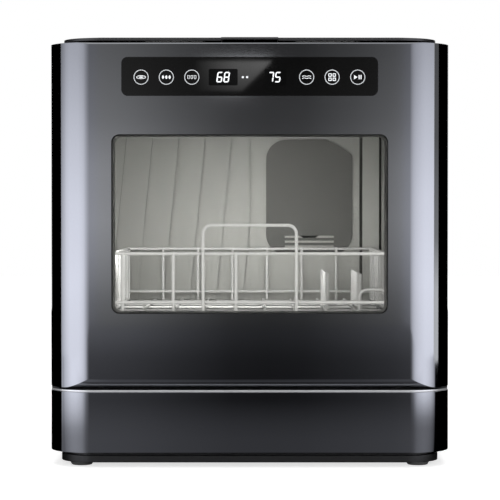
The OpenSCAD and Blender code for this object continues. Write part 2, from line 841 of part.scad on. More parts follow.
// Moulded top cover with a shallow crown, a slot for the key and the fill opening
module top_cover() {
    crown_h = case_h - cover_edge_z;
    color("#1b1b1c") difference() {
        union() {
            translate([0, cover_cy, cover_z]) linear_extrude(cover_edge_h)
                rounded_rect(cover_w, cover_d, cover_r);
            translate([0, cover_cy, cover_edge_z - eps])
                sloped_slab(cover_w, cover_d, cover_r, crown_h + eps, cover_slope);
            difference() {
                translate([0, cover_cy, door_top]) linear_extrude(top_gap + eps)
                    rounded_rect(cover_w, cover_d, cover_r);
                block([-case_w, front_y - 1, 0], [case_w, tub_front_y, case_h]);
            }
        }
        difference() {
            translate([0, cover_cy, 0]) union() {
                translate([0, 0, door_top - 1])
                    linear_extrude(cover_edge_z - cover_skin - door_top + 1)
                    rounded_rect(cover_w - 2 * cover_wall, cover_d - 2 * cover_wall,
                        cover_r - cover_wall);
                translate([0, 0, cover_edge_z - cover_skin - eps])
                    sloped_slab(cover_w - 2 * cover_wall, cover_d - 2 * cover_wall,
                        cover_r - cover_wall, crown_h, cover_slope);
            }
            block([-fill_w / 2 - 8, fill_axis_y - fill_d - 4, 0],
                  [fill_w / 2 + 8, fill_axis_y + 8, case_h]);
        }
        block([-key_w / 2 - fit_gap, front_y, door_top - 1],
              [key_w / 2 + fit_gap, key_y1 + fit_gap, case_h + 1]);
        translate([0, fill_axis_y - fill_d / 2 + fill_barrel_r, case_h - fill_t - fit_gap])
            linear_extrude(fill_t + 1)
            rounded_rect(fill_w + 2 * seam_gap, fill_d + 2 * seam_gap, 6);
        translate([0, fill_mouth_y, door_top - 1]) linear_extrude(cover_h + 3)
            rounded_rect(fill_mouth_w, fill_mouth_d, 6);
        rod_x(-fill_w / 2 - seam_gap, fill_w / 2 + seam_gap, fill_axis_y, fill_axis_z,
            fill_barrel_r + 2.5 * seam_gap);
        rod_x(-fill_w / 2 - 5, fill_w / 2 + 5, fill_axis_y, fill_axis_z, fill_pin_r + run_gap);
    }
}

// ---------- wash chamber ----------

// Folded tub: one sheet over the left side, the roof and the right side
module tub_wrap() {
    color("#a9aaa8") translate([0, tub_back_y + tub_t, 0]) rotate([90, 0, 0])
        linear_extrude(tub_back_y + tub_t - tub_front_y) difference() {
            tub_section(tub_t, tub_z);
            tub_section(0, tub_z - 1);
        }
}

// Back wall of the tub with slanting stepped panels and a corner pilaster
module tub_back() {
    color("#9b9b99") {
        translate([0, tub_back_y + tub_t, 0]) rotate([90, 0, 0]) linear_extrude(tub_t)
            difference() {
                tub_section(-fit_gap, tub_z);
                translate([fan_x, fan_z]) circle(r = fan_r - 4);
            }
        stepped_panels();
        pilaster();
    }
}

// Upright panels, each leaning and standing proud along one edge
module stepped_panels() {
    mid_z = (tub_z + tub_top) / 2;
    intersection() {
        block([-tub_w / 2 + 3, tub_back_y - step_depth - 1, rack_floor_z],
              [steps_x1, tub_back_y, tub_top - tub_r]);
        for (i = [-1 : step_count])
            translate([steps_x1 + (i - step_count) * step_w, tub_back_y, mid_z]) rotate([0, step_lean, 0])
                translate([0, 0, -mid_z]) linear_extrude(2 * mid_z)
                polygon([[0, 0.5], [0, -0.6], [step_w, -step_depth], [step_w, 0.5]]);
    }
}

// Rounded ribs side by side
module pilaster() {
    rib_r = 9;
    intersection() {
        block([pilaster_x - pilaster_w / 2, tub_back_y - pilaster_d, tub_z + 20],
              [pilaster_x + pilaster_w / 2, tub_back_y + eps, tub_top - 4]);
        for (k = [-1, 0, 1])
            rod_z(tub_z, tub_top, pilaster_x + k * (pilaster_w / 2 - rib_r), tub_back_y, rib_r);
    }
}

// Outline of the drying vent's cover: round at the upper left, a long arc to the right
module vent_outline(out) {
    intersection() {
        translate([vent_x, vent_z]) rounded_rect(vent_w + 2 * out, vent_h + 2 * out, 24);
        translate([vent_x - 22, vent_z - 40]) circle(r = vent_w + 12 + out, $fn = 96);
    }
}

// Cover over the drying vent: hollow behind, with slots along its foot
module vent_cover() {
    color("#6f6f6d") translate([0, tub_back_y, 0]) rotate([90, 0, 0]) difference() {
        linear_extrude(vent_t) vent_outline(0);
        translate([0, 0, -1]) linear_extrude(vent_t - 0.2) vent_outline(-4);
        for (i = [0 : 2])
            translate([vent_x - 30, vent_z - vent_h / 2 + 8 + i * 6, 0]) cube([60, 2.6, vent_t + 1]);
    }
}

// Floor of the tub with the holes for the sump and the spray arm's pipe
module tub_floor() {
    color("#a2a3a1") difference() {
        block([-tub_w / 2 + fit_gap, tub_front_y, tub_z - tub_t],
              [tub_w / 2 - fit_gap, tub_back_y, tub_z]);
        rod_z(tub_z - tub_t - 1, tub_z + 1, 0, filter_y, filter_r + filter_room);
        rod_z(tub_z - tub_t - 1, tub_z + 1, 0, -spray_y, pipe_r + fit_gap);
    }
}

// Rubber seal round the mouth: a flat base and a lip towards the door
module door_seal() {
    low = mouth_z0 - (axis_z + arm_h / 2) - 2 * fit_gap - 0.4;
    cz = mouth_cz + (door_seal_w - low) / 2;
    lip_y = cab_y - swing_gap + 2 * fit_gap;
    color("#0f0f10") difference() {
        union() {
            upright_plate(mouth_w + 2 * door_seal_w, mouth_h + low + door_seal_w,
                mouth_r + door_seal_w, cab_y - seal_base_t, cab_y, 0, cz);
            upright_plate(mouth_w + 6, mouth_h + 6, mouth_r + 3, lip_y, cab_y, 0, mouth_cz);
        }
        upright_plate(mouth_w + 1, mouth_h + 1, mouth_r + 0.5, lip_y - 1, cab_y + 1, 0, mouth_cz);
    }
}

// Channel rails on both walls, in which the rack's shoes run
module rack_rails() {
    color("#d4d5d3") for (m = [0, 1]) mirror([m, 0, 0]) rail();
}

module rail() {
    x1 = tub_w / 2;
    x0 = rack_w / 2 + wire_r + 2;
    difference() {
        block([x0, tub_front_y + fit_gap, rail_z0 - rail_t], [x1, rail_y1, rail_z1 + rail_t]);
        block([x0 - 1, tub_front_y - 1, rail_z0], [x1 - rail_t, rail_y1 - rail_t, rail_z1]);
    }
}

// Rounded pot under the floor, with a flange against it and two outlets
module sump() {
    top = tub_z - tub_t;
    color("#4b4d50") translate([0, filter_y, 0]) difference() {
        union() {
            rod_z(top - sump_t, top, 0, 0, sump_r + 8);
            rod_z(sump_z, top, 0, 0, sump_r);
            rod_x(pump_x, 0, 0, pump_z, 10);
            rod_x(0, drain_pump_x, 0, drain_z, 8);
        }
        rod_z(sump_z + sump_t, top + 1, 0, 0, sump_r - sump_t);
    }
}

// Post of the spray arm: pipe below, shoulder under the arm and cap above it
module arm_post() {
    arm_z = tub_z + spray_rise;
    color("#3c3d40") translate([0, -spray_y, 0]) difference() {
        union() {
            rod_z(tub_z - 24, tub_z, 0, 0, pipe_r);
            rod_z(tub_z, tub_z + 3, 0, 0, post_r + 14);
            rod_z(tub_z, arm_z - fit_gap, 0, 0, post_r + 4);
            rod_z(tub_z, arm_z + spray_t + fit_gap, 0, 0, post_r);
            rod_z(arm_z + spray_t + fit_gap, arm_z + spray_t + 4, 0, 0, post_r + 4);
        }
        rod_z(tub_z - 25, arm_z + 4, 0, 0, pipe_r - 2);
    }
}

// Hollow spray arm: two blades, slightly swept, with nozzles along their top
module spray_arm() {
    color("#595b5f") translate([0, -spray_y, tub_z + spray_rise]) difference() {
        union() {
            linear_extrude(spray_t) circle(r = post_r + 13);
            for (a = [0, 180]) rotate(a) {
                linear_extrude(spray_t) polygon([
                    [0, -17], [spray_reach - 12, -6], [spray_reach - 9, 9], [0, 15]
                ]);
                translate([spray_reach - 9 - 0.5, 1.5, 0]) cylinder(h = spray_t, r = 7.5);
                translate([22, -2, spray_t - eps]) cube([spray_reach - 50, 3, 1.2]);
            }
        }
        translate([0, 0, -1]) cylinder(h = spray_t + 2, r = post_r + run_gap);
        for (a = [0, 180], i = [0 : 3]) rotate(a)
            translate([34 + i * (spray_reach - 50) / 3.2, 5.5, spray_t - 3]) cylinder(h = 4, r = 1.6);
    }
}

// Filter cup hanging in the sump from its perforated top plate
module filter_cup() {
    cup_bottom = tub_z - filter_depth;
    color("#8c8f92") translate([0, filter_y, 0]) difference() {
        union() {
            rod_z(tub_z + fit_gap, tub_z + 2, 0, 0, filter_plate_r);
            rod_z(cup_bottom, tub_z + 1, 0, 0, filter_r);
            block([-filter_r + 6, -2, tub_z + 1], [filter_r - 6, 2, tub_z + 8]);
        }
        difference() {
            rod_z(cup_bottom + 2, tub_z - 1.5, 0, 0, filter_r - 2);
            rod_z(cup_bottom, tub_z, 0, 0, 5);
        }
        for (a = [0 : 30 : 359]) rotate(a)
            translate([filter_r + 5, 0, tub_z - 1]) cylinder(h = 4, r = 2);
        for (a = [15 : 30 : 359]) rotate(a) translate([filter_r - 4, -2, cup_bottom + 6])
            cube([6, 4, filter_depth - 12]);
    }
}

// ---------- machinery in the base ----------

// Wash pump: spiral housing with its outlet, motor can, rear bearing and bracket on the tray
module wash_pump() {
    motor_x = pump_x - 22;
    end_x = motor_x - pump_l;
    color("#7d8084") translate([0, filter_y, 0]) {
        rod_x(motor_x, pump_x, 0, pump_z, pump_r);
        rod_x(end_x, motor_x + eps, 0, pump_z, pump_r - 6);
        rod_x(end_x - 8, end_x + eps, 0, pump_z, 9);
        rod_y(-pump_r - 8, 0, pump_x - 11, pump_z + 10, 8);
        block([end_x + 14, -18, tray_top], [motor_x - 14, 18, pump_z - pump_r + 12]);
    }
}

// Drain pump on the other side of the sump, its outlet low and towards the back
module drain_pump() {
    motor_x = drain_pump_x + 20;
    color("#5f6266") translate([0, filter_y, 0]) {
        rod_x(drain_pump_x, motor_x, 0, drain_z, drain_pump_r);
        rod_x(motor_x - eps, motor_x + drain_pump_l, 0, drain_z, drain_pump_r - 5);
        rod_y(0, drain_pump_r + 6, drain_pump_x + 10, port_z, 8);
        block([motor_x + 6, -12, tray_top], [motor_x + drain_pump_l - 10, 12, drain_z - 10]);
    }
}

// Flow heater in front of the pump, on two saddles
module water_heater() {
    color("#b9bcc0") translate([heater_x, heater_y, 0]) {
        rod_x(0, heater_l, 0, heater_z, heater_r);
        rod_x(-8, eps, 0, heater_z, 10);
        rod_x(heater_l - eps, heater_l + 8, 0, heater_z, 10);
        for (x = [14, heater_l - 28]) block([x, -12, tray_top], [x + 14, 12, heater_z - heater_r / 2]);
    }
}

// Hoses: pump to heater, heater to spray arm, drain pump to its spigot and tank to sump
module hoses() {
    out_x = pump_x - 11;
    out_z = pump_z + 10;
    in_x = heater_x - 33;
    far_x = heater_x + heater_l + 8;
    out_y = filter_y - pump_r - 8;
    drain_x0 = drain_pump_x + 10;
    turn_y = spigot_back_y - 22;
    tank_out_y = tank_y - tank_d / 2 + 7;
    tank_hose_r = hose_r - 1;
    tank_hose_z = tank_z - 9;
    color("#2e2f31") {
        $fn = 32;
        pipe([[out_x, out_y, out_z], [out_x, heater_y, out_z], [in_x, heater_y, out_z],
              [in_x, heater_y, heater_z], [heater_x - 8, heater_y, heater_z]], hose_r, 12);
        pipe([[far_x, heater_y, heater_z], [far_x + 17, heater_y, heater_z],
              [far_x + 17, -spray_y, heater_z], [0, -spray_y, heater_z], [0, -spray_y, tub_z - 24]],
              hose_r, 12);
        pipe([[drain_x0, filter_y + drain_pump_r + 6, port_z], [drain_x0, turn_y, port_z],
              [drain_x, turn_y, port_z], [drain_x, spigot_back_y, port_z]], drain_hose_r, 14);
        pipe([[0, tank_out_y, tank_z], [0, tank_out_y, tank_hose_z],
              [0, filter_y + sump_r, tank_hose_z]], tank_hose_r, 8);
    }
}

// Threaded inlet and barbed drain spigot, each with a shoulder that fills its hole in the wall
module hose_spigots() {
    color("#d0d2d4") for (port = [[inlet_x, inlet_r, inlet_l], [drain_x, drain_r, drain_l]]) {
        rod_y(spigot_back_y, port_wall_y, port[0], port_z, port[1] + 5);
        rod_y(port_wall_y - eps, recess_y, port[0], port_z, port[1] + spigot_step);
        rod_y(recess_y - eps, recess_y + port[2], port[0], port_z, port[1]);
    }
}

// Inlet valve behind the threaded inlet, with its coil beside it and the riser to the tank
module inlet_valve() {
    body_l = 28;
    riser_r = 5;
    color("#cfd1d3") {
        rod_y(spigot_back_y - body_l, spigot_back_y, inlet_x, port_z, 11);
        rod_z(port_z, tank_z, inlet_x, spigot_back_y - riser_r, riser_r);
        block([inlet_x - 20, spigot_back_y - body_l + 4, port_z - 9],
              [inlet_x, spigot_back_y - 6, port_z + 9]);
    }
}

// Ring-shaped gland for the mains lead
module mains_gland() {
    y0 = port_wall_y - gland_flange_t;
    y1 = recess_y + gland_flange_t;
    color("#141414") difference() {
        union() {
            rod_y(y0, port_wall_y, gland_x, port_z, gland_r + 3);
            rod_y(port_wall_y - eps, recess_y + eps, gland_x, port_z, gland_r);
            rod_y(recess_y, y1, gland_x, port_z, gland_r + 3);
        }
        rod_y(y0 - 1, y1 + 1, gland_x, port_z, gland_bore_r);
    }
}

// Power board on stand-offs, with its transformer, capacitors and relays
module power_board() {
    color("#2f6b46") translate([power_x, front_y + power_front, tray_top]) {
        for (x = [5, power_w - 5], y = [5, power_d - 5]) rod_z(0, power_rise, x, y, 3);
        block([0, 0, power_rise], [power_w, power_d, power_rise + board_t]);
        block([8, 12, power_rise], [38, 42, power_rise + 26]);
        for (i = [0 : 2]) {
            block([50, 8 + i * 19, power_rise], [68, 22 + i * 19, power_rise + 16]);
            rod_z(power_rise, power_rise + 22, power_w - 12, 14 + i * 20, 5.5);
        }
    }
}

// ---------- water filling ----------

// Hollow tank behind the tub: full width below, narrower beside the fan, on two legs
module water_tank() {
    color("#c9ccd0") difference() {
        union() {
            tank_part(0, tank_w, tank_step_h);
            tank_part(0, tank_upper_w, tank_h);
            for (s = [-1, 1]) translate([s * (recess_x + 2), 0, 0])
                block([-6, tank_y - tank_d / 2 + 2, tray_top], [6, port_wall_y - 2, tank_z + 1]);
        }
        tank_part(tank_t, tank_w, tank_step_h);
        tank_part(tank_t, tank_upper_w, tank_h);
        rod_z(tank_top - 10, tank_top + 1, 0, tank_y, neck_r + fit_gap);
    }
}

// One part of the tank, from its left side and its underside, drawn in by a wall
module tank_part(wall, w, h) {
    translate([(w - tank_w) / 2, tank_y, tank_z + wall]) linear_extrude(h - 2 * wall)
        rounded_rect(w - 2 * wall, tank_d - 2 * wall, 8 - wall);
}

// Funnel under the fill lid: a tray over the tub with its neck in the tank
module fill_funnel() {
    y0 = fill_mouth_y - fill_mouth_d / 2 - 4;
    y1 = tank_y + neck_r + 4;
    half_w = fill_mouth_w / 2 + 4;
    color("#e2e4e6") difference() {
        union() {
            block([-half_w, y0, funnel_z], [half_w, y1, door_top - eps]);
            rod_z(tank_top - neck_dip, funnel_z + eps, 0, tank_y, neck_r);
        }
        block([-half_w + 3, y0 + 3, funnel_z + 2.5], [half_w - 3, y1 - 3, door_top + 1]);
        rod_z(tank_z, door_top, 0, tank_y, neck_r - 2);
    }
}

// Lid over the fill opening, with a finger dip, its barrel and stub pins moulded on
module fill_lid() {
    y1 = fill_axis_y;
    y0 = y1 - fill_d + 2 * fill_barrel_r;
    color("#232325") {
        difference() {
            translate([0, (y0 + y1) / 2, case_h - fill_t]) linear_extrude(fill_t)
                rounded_rect(fill_w, y1 - y0, 5);
            block([-fill_w, y1 - 6, 0], [fill_w, y1 + 6, case_h + 1]);
            rod_x(-16, 16, y0 + 6, case_h + 2.4, 4);
        }
        block([-fill_w / 2 + 1, y1 - 6 - eps, case_h - 2.2], [fill_w / 2 - 1, y1, case_h]);
        rod_x(-fill_w / 2 + 1, fill_w / 2 - 1, y1, fill_axis_z, fill_barrel_r);
        rod_x(-fill_w / 2 - 4, fill_w / 2 + 4, y1, fill_axis_z, fill_pin_r);
    }
}

// ---------- fittings over the tub ----------

// Small fan behind the drying vent, on the step of the tank
module vent_fan() {
    y0 = tub_back_y + tub_t;
    color("#1e1e20") difference() {
        union() {
            block([fan_x - fan_r - 3, y0, fan_z - fan_r - 3],
                  [fan_x + fan_r + 3, y0 + fan_frame_t, fan_z + fan_r + 3]);
            rod_y(y0 + fan_frame_t - eps, y0 + fan_frame_t + fan_motor_l, fan_x, fan_z, fan_r - 2);
        }
        rod_y(y0 - 1, y0 + 12, fan_x, fan_z, fan_r - 4);
    }
}

// Lamp with its lens set under the tub's roof
module tub_lamp() {
    color("#f4f4ee") block([-lamp_w / 2, tub_front_y + 16, tub_top - lamp_h],
                           [lamp_w / 2, tub_front_y + 16 + lamp_d, tub_top]);
}

// Two magnets that hold the door shut
module catch_magnets() {
    color("#8f9195") for (s = [-1, 1])
        upright_plate(magnet_w, magnet_h, 1, door_in_y + 0.4, tub_front_y + 4, s * magnet_x, magnet_z);
}

// Steel plates in the door, opposite the magnets
module catch_strikes() {
    color("#b9bbbe") for (s = [-1, 1])
        upright_plate(magnet_w, magnet_h, 1, door_in_y - inner_t - 1, door_in_y, s * magnet_x, magnet_z);
}

// Switch block under the key, on the front frame
module key_switch() {
    color("#3a3a3c") difference() {
        block([-16, tub_front_y, switch_top - 9], [16, stem_y + 9, switch_top]);
        rod_z(switch_top - switch_bore_d, switch_top + 1, 0, stem_y, key_stem_r + fit_gap);
    }
}

// Key over the front edge: its top follows the crown, and its stem stands in the switch
module release_key() {
    color("#2a2a2c") {
        translate([-key_w / 2, 0, 0]) rotate([90, 0, 90]) linear_extrude(key_w) polygon([
            [key_y0, key_z0], [key_y1, key_z0], [key_y1, case_h],
            [front_y + cover_front + cover_slope, case_h], [key_y0, cover_edge_z + key_proud]
        ]);
        rod_z(stem_z0, key_z0 + eps, 0, stem_y, key_stem_r);
    }
}

// Coil spring round the stem
module key_spring() {
    color("#c0c2c4") translate([0, stem_y, switch_top])
        coil(key_stem_r + 1.4, 0.5, key_z0 - switch_top, 5);
}

// ---------- hinges ----------

// Steel arms from the base up and forward to the door's axis
module hinge_arms() {
    leg_y1 = tub_front_y + 6 + leg_w;
    color("#9a9da1") for (s = [-1, 1]) translate([s * hinge_x, 0, 0]) {
        difference() {
            union() {
                rod_x(-arm_t / 2, arm_t / 2, axis_y, axis_z, hinge_eye_r);
                block([-arm_t / 2, axis_y, axis_z - arm_h / 2], [arm_t / 2, leg_y1, axis_z + arm_h / 2]);
                block([-arm_t / 2, leg_y1 - leg_w, tray_top], [arm_t / 2, leg_y1, axis_z]);
                block([-arm_t / 2 - arm_foot_w, leg_y1 - leg_w, tray_top],
                      [arm_t / 2 + arm_foot_w, leg_y1, tray_top + 3]);
            }
            rod_x(-arm_t, arm_t, axis_y, axis_z, hinge_pin_r + run_gap);
        }
    }
}

// Pins through the eyes, held in the door's clevises
module hinge_pins() {
    color("#d6d8da") for (s = [-1, 1]) translate([s * hinge_x, 0, 0])
        rod_x(-arm_t / 2 - ear_gap - ear_t, arm_t / 2 + ear_gap + ear_t, axis_y, axis_z, hinge_pin_r);
}

// Clevises in the door's lower corners
module hinge_clevises() {
    low_z = door_z + panel_t;
    color("#5c5e61") for (s = [-1, 1], e = [-1, 1])
        translate([s * hinge_x + e * (arm_t / 2 + ear_gap + ear_t / 2), 0, 0]) difference() {
            intersection() {
                block([-ear_t / 2, front_y + panel_t, low_z], [ear_t / 2, axis_y + 12, axis_z + 14]);
                union() {
                    rod_x(-ear_t, ear_t, axis_y, axis_z, hinge_r - panel_t);
                    block([-ear_t, axis_y, low_z], [ear_t, axis_y + 12, axis_z + 14]);
                    block([-ear_t, front_y, axis_z], [ear_t, axis_y + 12, axis_z + 14]);
                }
            }
            rod_x(-ear_t, ear_t, axis_y, axis_z, hinge_pin_r);
        }
}

// ---------- door ----------

// The door's section along y and z, drawn in by an inset, open at the back if asked
module door_section(inset, y_end) {
    lo = hinge_r - inset;
    hi = max(door_edge_r - inset, 0.2);
    z0 = door_z + inset;
    z1 = door_top - inset;
    y0 = front_y + inset;
    polygon([
        [y0 + lo, z0], [y_end, z0], [y_end, z1], [y0 + hi, z1], [y0, z1 - hi], [y0, z0 + lo]
    ]);
    translate([y0 + lo, z0 + lo]) circle(r = lo);
    translate([y0 + hi, z1 - hi]) circle(r = hi);
}

// The door's solid form: its plan outline cut by its section
module door_form(inset, y_end) {
    intersection() {
        translate([0, 0, door_z - 1]) linear_extrude(door_h + 2) front_plan(inset, y_end);
        translate([-case_w, 0, 0]) rotate([90, 0, 90]) linear_extrude(2 * case_w)
            door_section(inset, y_end);
    }
}

// What the hinge arms sweep through in the door's lower inner corners
module arm_notches() {
    for (s = [-1, 1]) translate([s * hinge_x, 0, 0])
        block([-arm_t / 2 - 0.5, axis_y - arm_h / 2 - 0.5, door_z - 1],
              [arm_t / 2 + 0.5, door_in_y + 2, axis_z + arm_h / 2 + 0.5]);
}

// Moulded door shell with the window, the seat of the control glass and screw bosses
module door_shell() {
    skin_y = front_y + panel_t;
    color("#55565b") difference() {
        union() {
            difference() {
                door_form(0, door_in_y);
                door_form(panel_t, door_in_y + 1);
            }
            intersection() {
                door_form(1, door_in_y - inner_t);
                for (p = door_screw_places) rod_y(front_y, door_in_y, p[0], p[1], 5);
            }
        }
        upright_plate(window_w, window_h, window_r, front_y - 1, skin_y + 1, 0, window_cz);
        upright_plate(control_w, control_h, control_r, front_y - 1, front_y + control_glass_t,
            0, control_cz);
        upright_plate(control_w - 2 * control_ledge, control_h - 2 * control_ledge, 3,
            front_y - 1, skin_y + 1, 0, control_cz);
        arm_notches();
        panel_screws(0.1);
    }
}

// Inner panel with its return flange, window, dispenser opening and strike seats
module door_inner_panel() {
    edge = panel_t + fit_gap;
    z0 = door_z + edge;
    z1 = door_top - edge;
    y0 = door_in_y - inner_t;
    color("#a3a4a2") difference() {
        panel_tray(edge, y0 - inner_flange, door_in_y, z0, z1);
        panel_tray(edge + 2, y0 - inner_flange - 1, y0, z0 + 2, z1 - 2);
        upright_plate(window_w, window_h, window_r, y0 - 1, door_in_y + 1, 0, window_cz);
        block([-cup_w / 2 - cup_rim, y0 - 1, cup_low_z], [cup_w / 2 + cup_rim, door_in_y + 1, cup_high_z]);
        for (s = [-1, 1]) upright_plate(magnet_w + 0.2, magnet_h + 0.2, 1.1, y0 - 1,
            door_in_y + 1, s * magnet_x, magnet_z);
        arm_notches();
        for (s = [-1, 1]) translate([s * hinge_x, 0, 0])
            block([-arm_t / 2 - ear_gap - ear_t - fit_gap, front_y, 0],
                  [arm_t / 2 + ear_gap + ear_t + fit_gap, axis_y + 12 + fit_gap, axis_z + 15]);
        panel_screws(0.1);
    }
}

// A slab that follows the door's round corners
module panel_tray(edge, y0, y1, z0, z1) {
    translate([0, 0, z0]) linear_extrude(z1 - z0) intersection() {
        front_plan(edge, y1);
        translate([-case_w / 2, y0]) square([case_w, y1 - y0]);
    }
}

// Outer pane, flush with the door's face
module window_glass() {
    color([0.75, 0.78, 0.8, 0.3])
        upright_plate(window_w - 0.2, window_h - 0.2, window_r - 0.1, front_y, front_y + glass_t,
            0, window_cz);
}

// Black tunnel between the two panes
module window_frame() {
    skin_y = front_y + panel_t;
    flange = 8;
    color("#101011") difference() {
        union() {
            upright_plate(window_w + 2 * flange, window_h + 2 * flange, window_r + flange,
                skin_y, skin_y + 2, 0, window_cz);
            upright_plate(pane_w, pane_h, window_r + glass_lap, skin_y, inner_pane_y, 0, window_cz);
            upright_plate(window_w - 0.2, window_h - 0.2, window_r - 0.1,
                front_y + min(glass_t, panel_t), skin_y + 2, 0, window_cz);
        }
        upright_plate(window_w - 2 * glass_ledge, window_h - 2 * glass_ledge,
            max(window_r - glass_ledge, 0.5), front_y - 1, inner_pane_y + 1, 0, window_cz);
        upright_plate(window_w - 0.1, window_h - 0.1, window_r, front_y - 1, front_y + glass_t,
            0, window_cz);
    }
}

// Inner pane, behind the inner panel
module window_inner_glass() {
    color([0.8, 0.82, 0.84, 0.3])
        upright_plate(pane_w, pane_h, window_r + glass_lap, inner_pane_y, inner_pane_y + glass_t,
            0, window_cz);
}

// Rubber round the inner pane's edge
module window_seal() {
    color("#161617") difference() {
        upright_plate(pane_w + 2 * seal_w, pane_h + 2 * seal_w, window_r + glass_lap + seal_w,
            inner_pane_y, inner_pane_y + glass_t, 0, window_cz);
        upright_plate(pane_w + 0.1, pane_h + 0.1, window_r + glass_lap, inner_pane_y - 1,
            inner_pane_y + glass_t + 1, 0, window_cz);
    }
}

// Control glass in its seat
module control_glass() {
    color("#0b0b0c")
        upright_plate(control_w - 0.2, control_h - 0.2, control_r - 0.1, front_y,
            front_y + control_glass_t, 0, control_cz);
}

// Circuit board behind the glass, on posts from the shell
module control_board() {
    w = control_w + 10;
    h = control_h + 8;
    color("#27543b") {
        upright_plate(w, h, 2, board_y, board_y + board_t, 0, control_cz);
        for (sx = [-1, 0, 1], sz = [-1, 1])
            rod_y(front_y + panel_t, board_y, sx * (w / 2 - 3), control_cz + sz * (h / 2 - 3), 2);
        for (i = [-2 : 2])
            block([i * 40 - 6, board_y + board_t, control_cz - 8],
                  [i * 40 + 6, board_y + board_t + 2, control_cz + 4]);
    }
}

// Two number displays between board and glass
module display_modules() {
    color("#1d1d1f") for (s = [-1, 1]) translate([s * display_x, 0, control_cz])
        block([-display_w / 2, front_y + control_glass_t, -display_h / 2],
              [display_w / 2, board_y, display_h / 2]);
}

// A contact spring behind each touch key
module touch_springs() {
    color("#c8b070") for (s = [-1, 1], k = [0 : 2])
        translate([s * (key_start + k * key_pitch), board_y, control_cz]) rotate([90, 0, 0])
            coil(4, 0.5, board_y - front_y - control_glass_t, 3);
}

// Detergent cup in the door: open box, rim flush with the panel and ears for the lid
module dispenser_cup() {
    rim_y = door_in_y - inner_t;
    color("#d9dad8") difference() {
        union() {
            block([-cup_w / 2 - cup_rim + 0.1, rim_y, cup_low_z + 0.1],
                  [cup_w / 2 + cup_rim - 0.1, door_in_y, cup_high_z - 0.1]);
            block([-cup_w / 2 - cup_t, door_in_y - cup_d, cup_z0 - cup_t],
                  [cup_w / 2 + cup_t, rim_y + eps, cup_z0 + cup_h + cup_t]);
            for (s = [-1, 1]) translate([s * (cup_w / 2 + 1.5), 0, 0])
                block([-1.5, door_in_y - eps, cup_axis_z - 2], [1.5, cup_axis_y + 2, cup_axis_z + 2]);
        }
        block([-cup_w / 2, door_in_y - cup_d + cup_t, cup_z0],
              [cup_w / 2, door_in_y + 1, cup_z0 + cup_h]);
        block([-cup_w / 2, door_in_y - cup_lid_t - fit_gap, cup_axis_z - cup_barrel_r - fit_gap],
              [cup_w / 2, door_in_y + 1, cup_z0 + cup_h + 1.5 + fit_gap]);
        rod_x(-cup_w, cup_w, cup_axis_y, cup_axis_z, cup_pin_r + run_gap);
    }
}

// Lid of the detergent cup, with its barrel and stub pins
module dispenser_lid() {
    w = cup_w - 1;
    color("#ececea") {
        block([-w / 2, door_in_y - cup_lid_t, cup_axis_z], [w / 2, door_in_y, cup_z0 + cup_h + 1.5]);
        rod_x(-w / 2, w / 2, cup_axis_y, cup_axis_z, cup_barrel_r);
        rod_x(-w / 2 - 2.5, w / 2 + 2.5, cup_axis_y, cup_axis_z, cup_pin_r);
        block([-9, door_in_y - eps, cup_z0 + cup_h - 3], [9, door_in_y + 1.2, cup_z0 + cup_h]);
    }
}

// Screws that hold the inner panel to the shell's bosses
module door_screws() {
    color("#d0d0d0") panel_screws(0);
}

module panel_screws(play) {
    for (p = door_screw_places) screw_y(p[0], door_in_y, p[1], screw_r, play);
}

// Screws in the rear cover
module cabinet_screws() {
    color("#8d8f92") cover_screws(0);
}

module cover_screws(play) {
    for (s = [-1, 1], z = [panel_z + 18, window_cz, door_top - 20])
        screw_y(s * (case_w / 2 - side_flange + 5), back_y, z, screw_r, play);
}

// ---------- rack ----------

// Front of the rack: two rails, uprights and the handle hoop
module rack_front() {
    color("#d8d9d9") {
        for (z = [low_rail_z, top_rail_z]) rod_x(-rack_w / 2, rack_w / 2, rack_y0, z, wire_r);
        for (x = concat(-rack_w / 2, front_upright_x, rack_w / 2))
            rod_z(rack_floor_z, top_rail_z + 2, x, rack_y0, wire_r);
        wire_hoop(-hoop_w / 2, hoop_w / 2, rack_y0 - wire_d + weld, rack_floor_z, hoop_z);
    }
}

// Back of the rack
module rack_back() {
    n = 7;
    color("#d8d9d9") {
        for (z = [low_rail_z, top_rail_z]) rod_x(-rack_w / 2, rack_w / 2, rack_y1, z, wire_r);
        for (i = [0 : n])
            rod_z(rack_floor_z, top_rail_z + 2, -rack_w / 2 + i * rack_w / n, rack_y1, wire_r);
    }
}

// Both sides of the rack
module rack_sides() {
    n = 7;
    color("#d8d9d9") for (s = [-1, 1]) {
        for (z = [rack_floor_z, top_rail_z])
            rod_y(rack_y0, rack_y1, s * rack_w / 2, z, wire_r);
        for (i = [1 : n - 1])
            rod_z(rack_floor_z, top_rail_z, s * rack_w / 2, rack_y0 + i * (rack_y1 - rack_y0) / n, wire_r);
    }
}

// Floor of the rack: wires front to back, welded on top of cross wires
module rack_floor() {
    wires = floor((rack_w - 12) / floor_pitch);
    cross_z = rack_floor_z - wire_d + weld;
    color("#d8d9d9") {
        for (i = [1 : wires])
            rod_y(rack_y0, rack_y1, rack_w / 2 - i * floor_pitch, rack_floor_z, wire_r);
        for (k = [0 : 4])
            rod_x(-rack_w / 2, rack_w / 2, rack_y0 + k * (rack_y1 - rack_y0) / 4, cross_z, wire_r);
    }
}

// Two rows of tines for bowls, and a low hoop beside them
module rack_tines() {
    color("#d8d9d9") {
        for (x = tine_rows) {
            for (i = [0 : tine_count - 1])
                rod_z(rack_floor_z, rack_floor_z + tine_h, x, tine_y0 + i * tine_pitch, wire_r);
            rod_y(tine_y0 - 10, tine_y0 + (tine_count - 1) * tine_pitch + 10, x, rack_floor_z, wire_r);
        }
        wire_hoop(low_hoop_x, rack_w / 2, rack_y0 + 22, rack_floor_z, rack_floor_z + low_hoop_rise);
    }
}

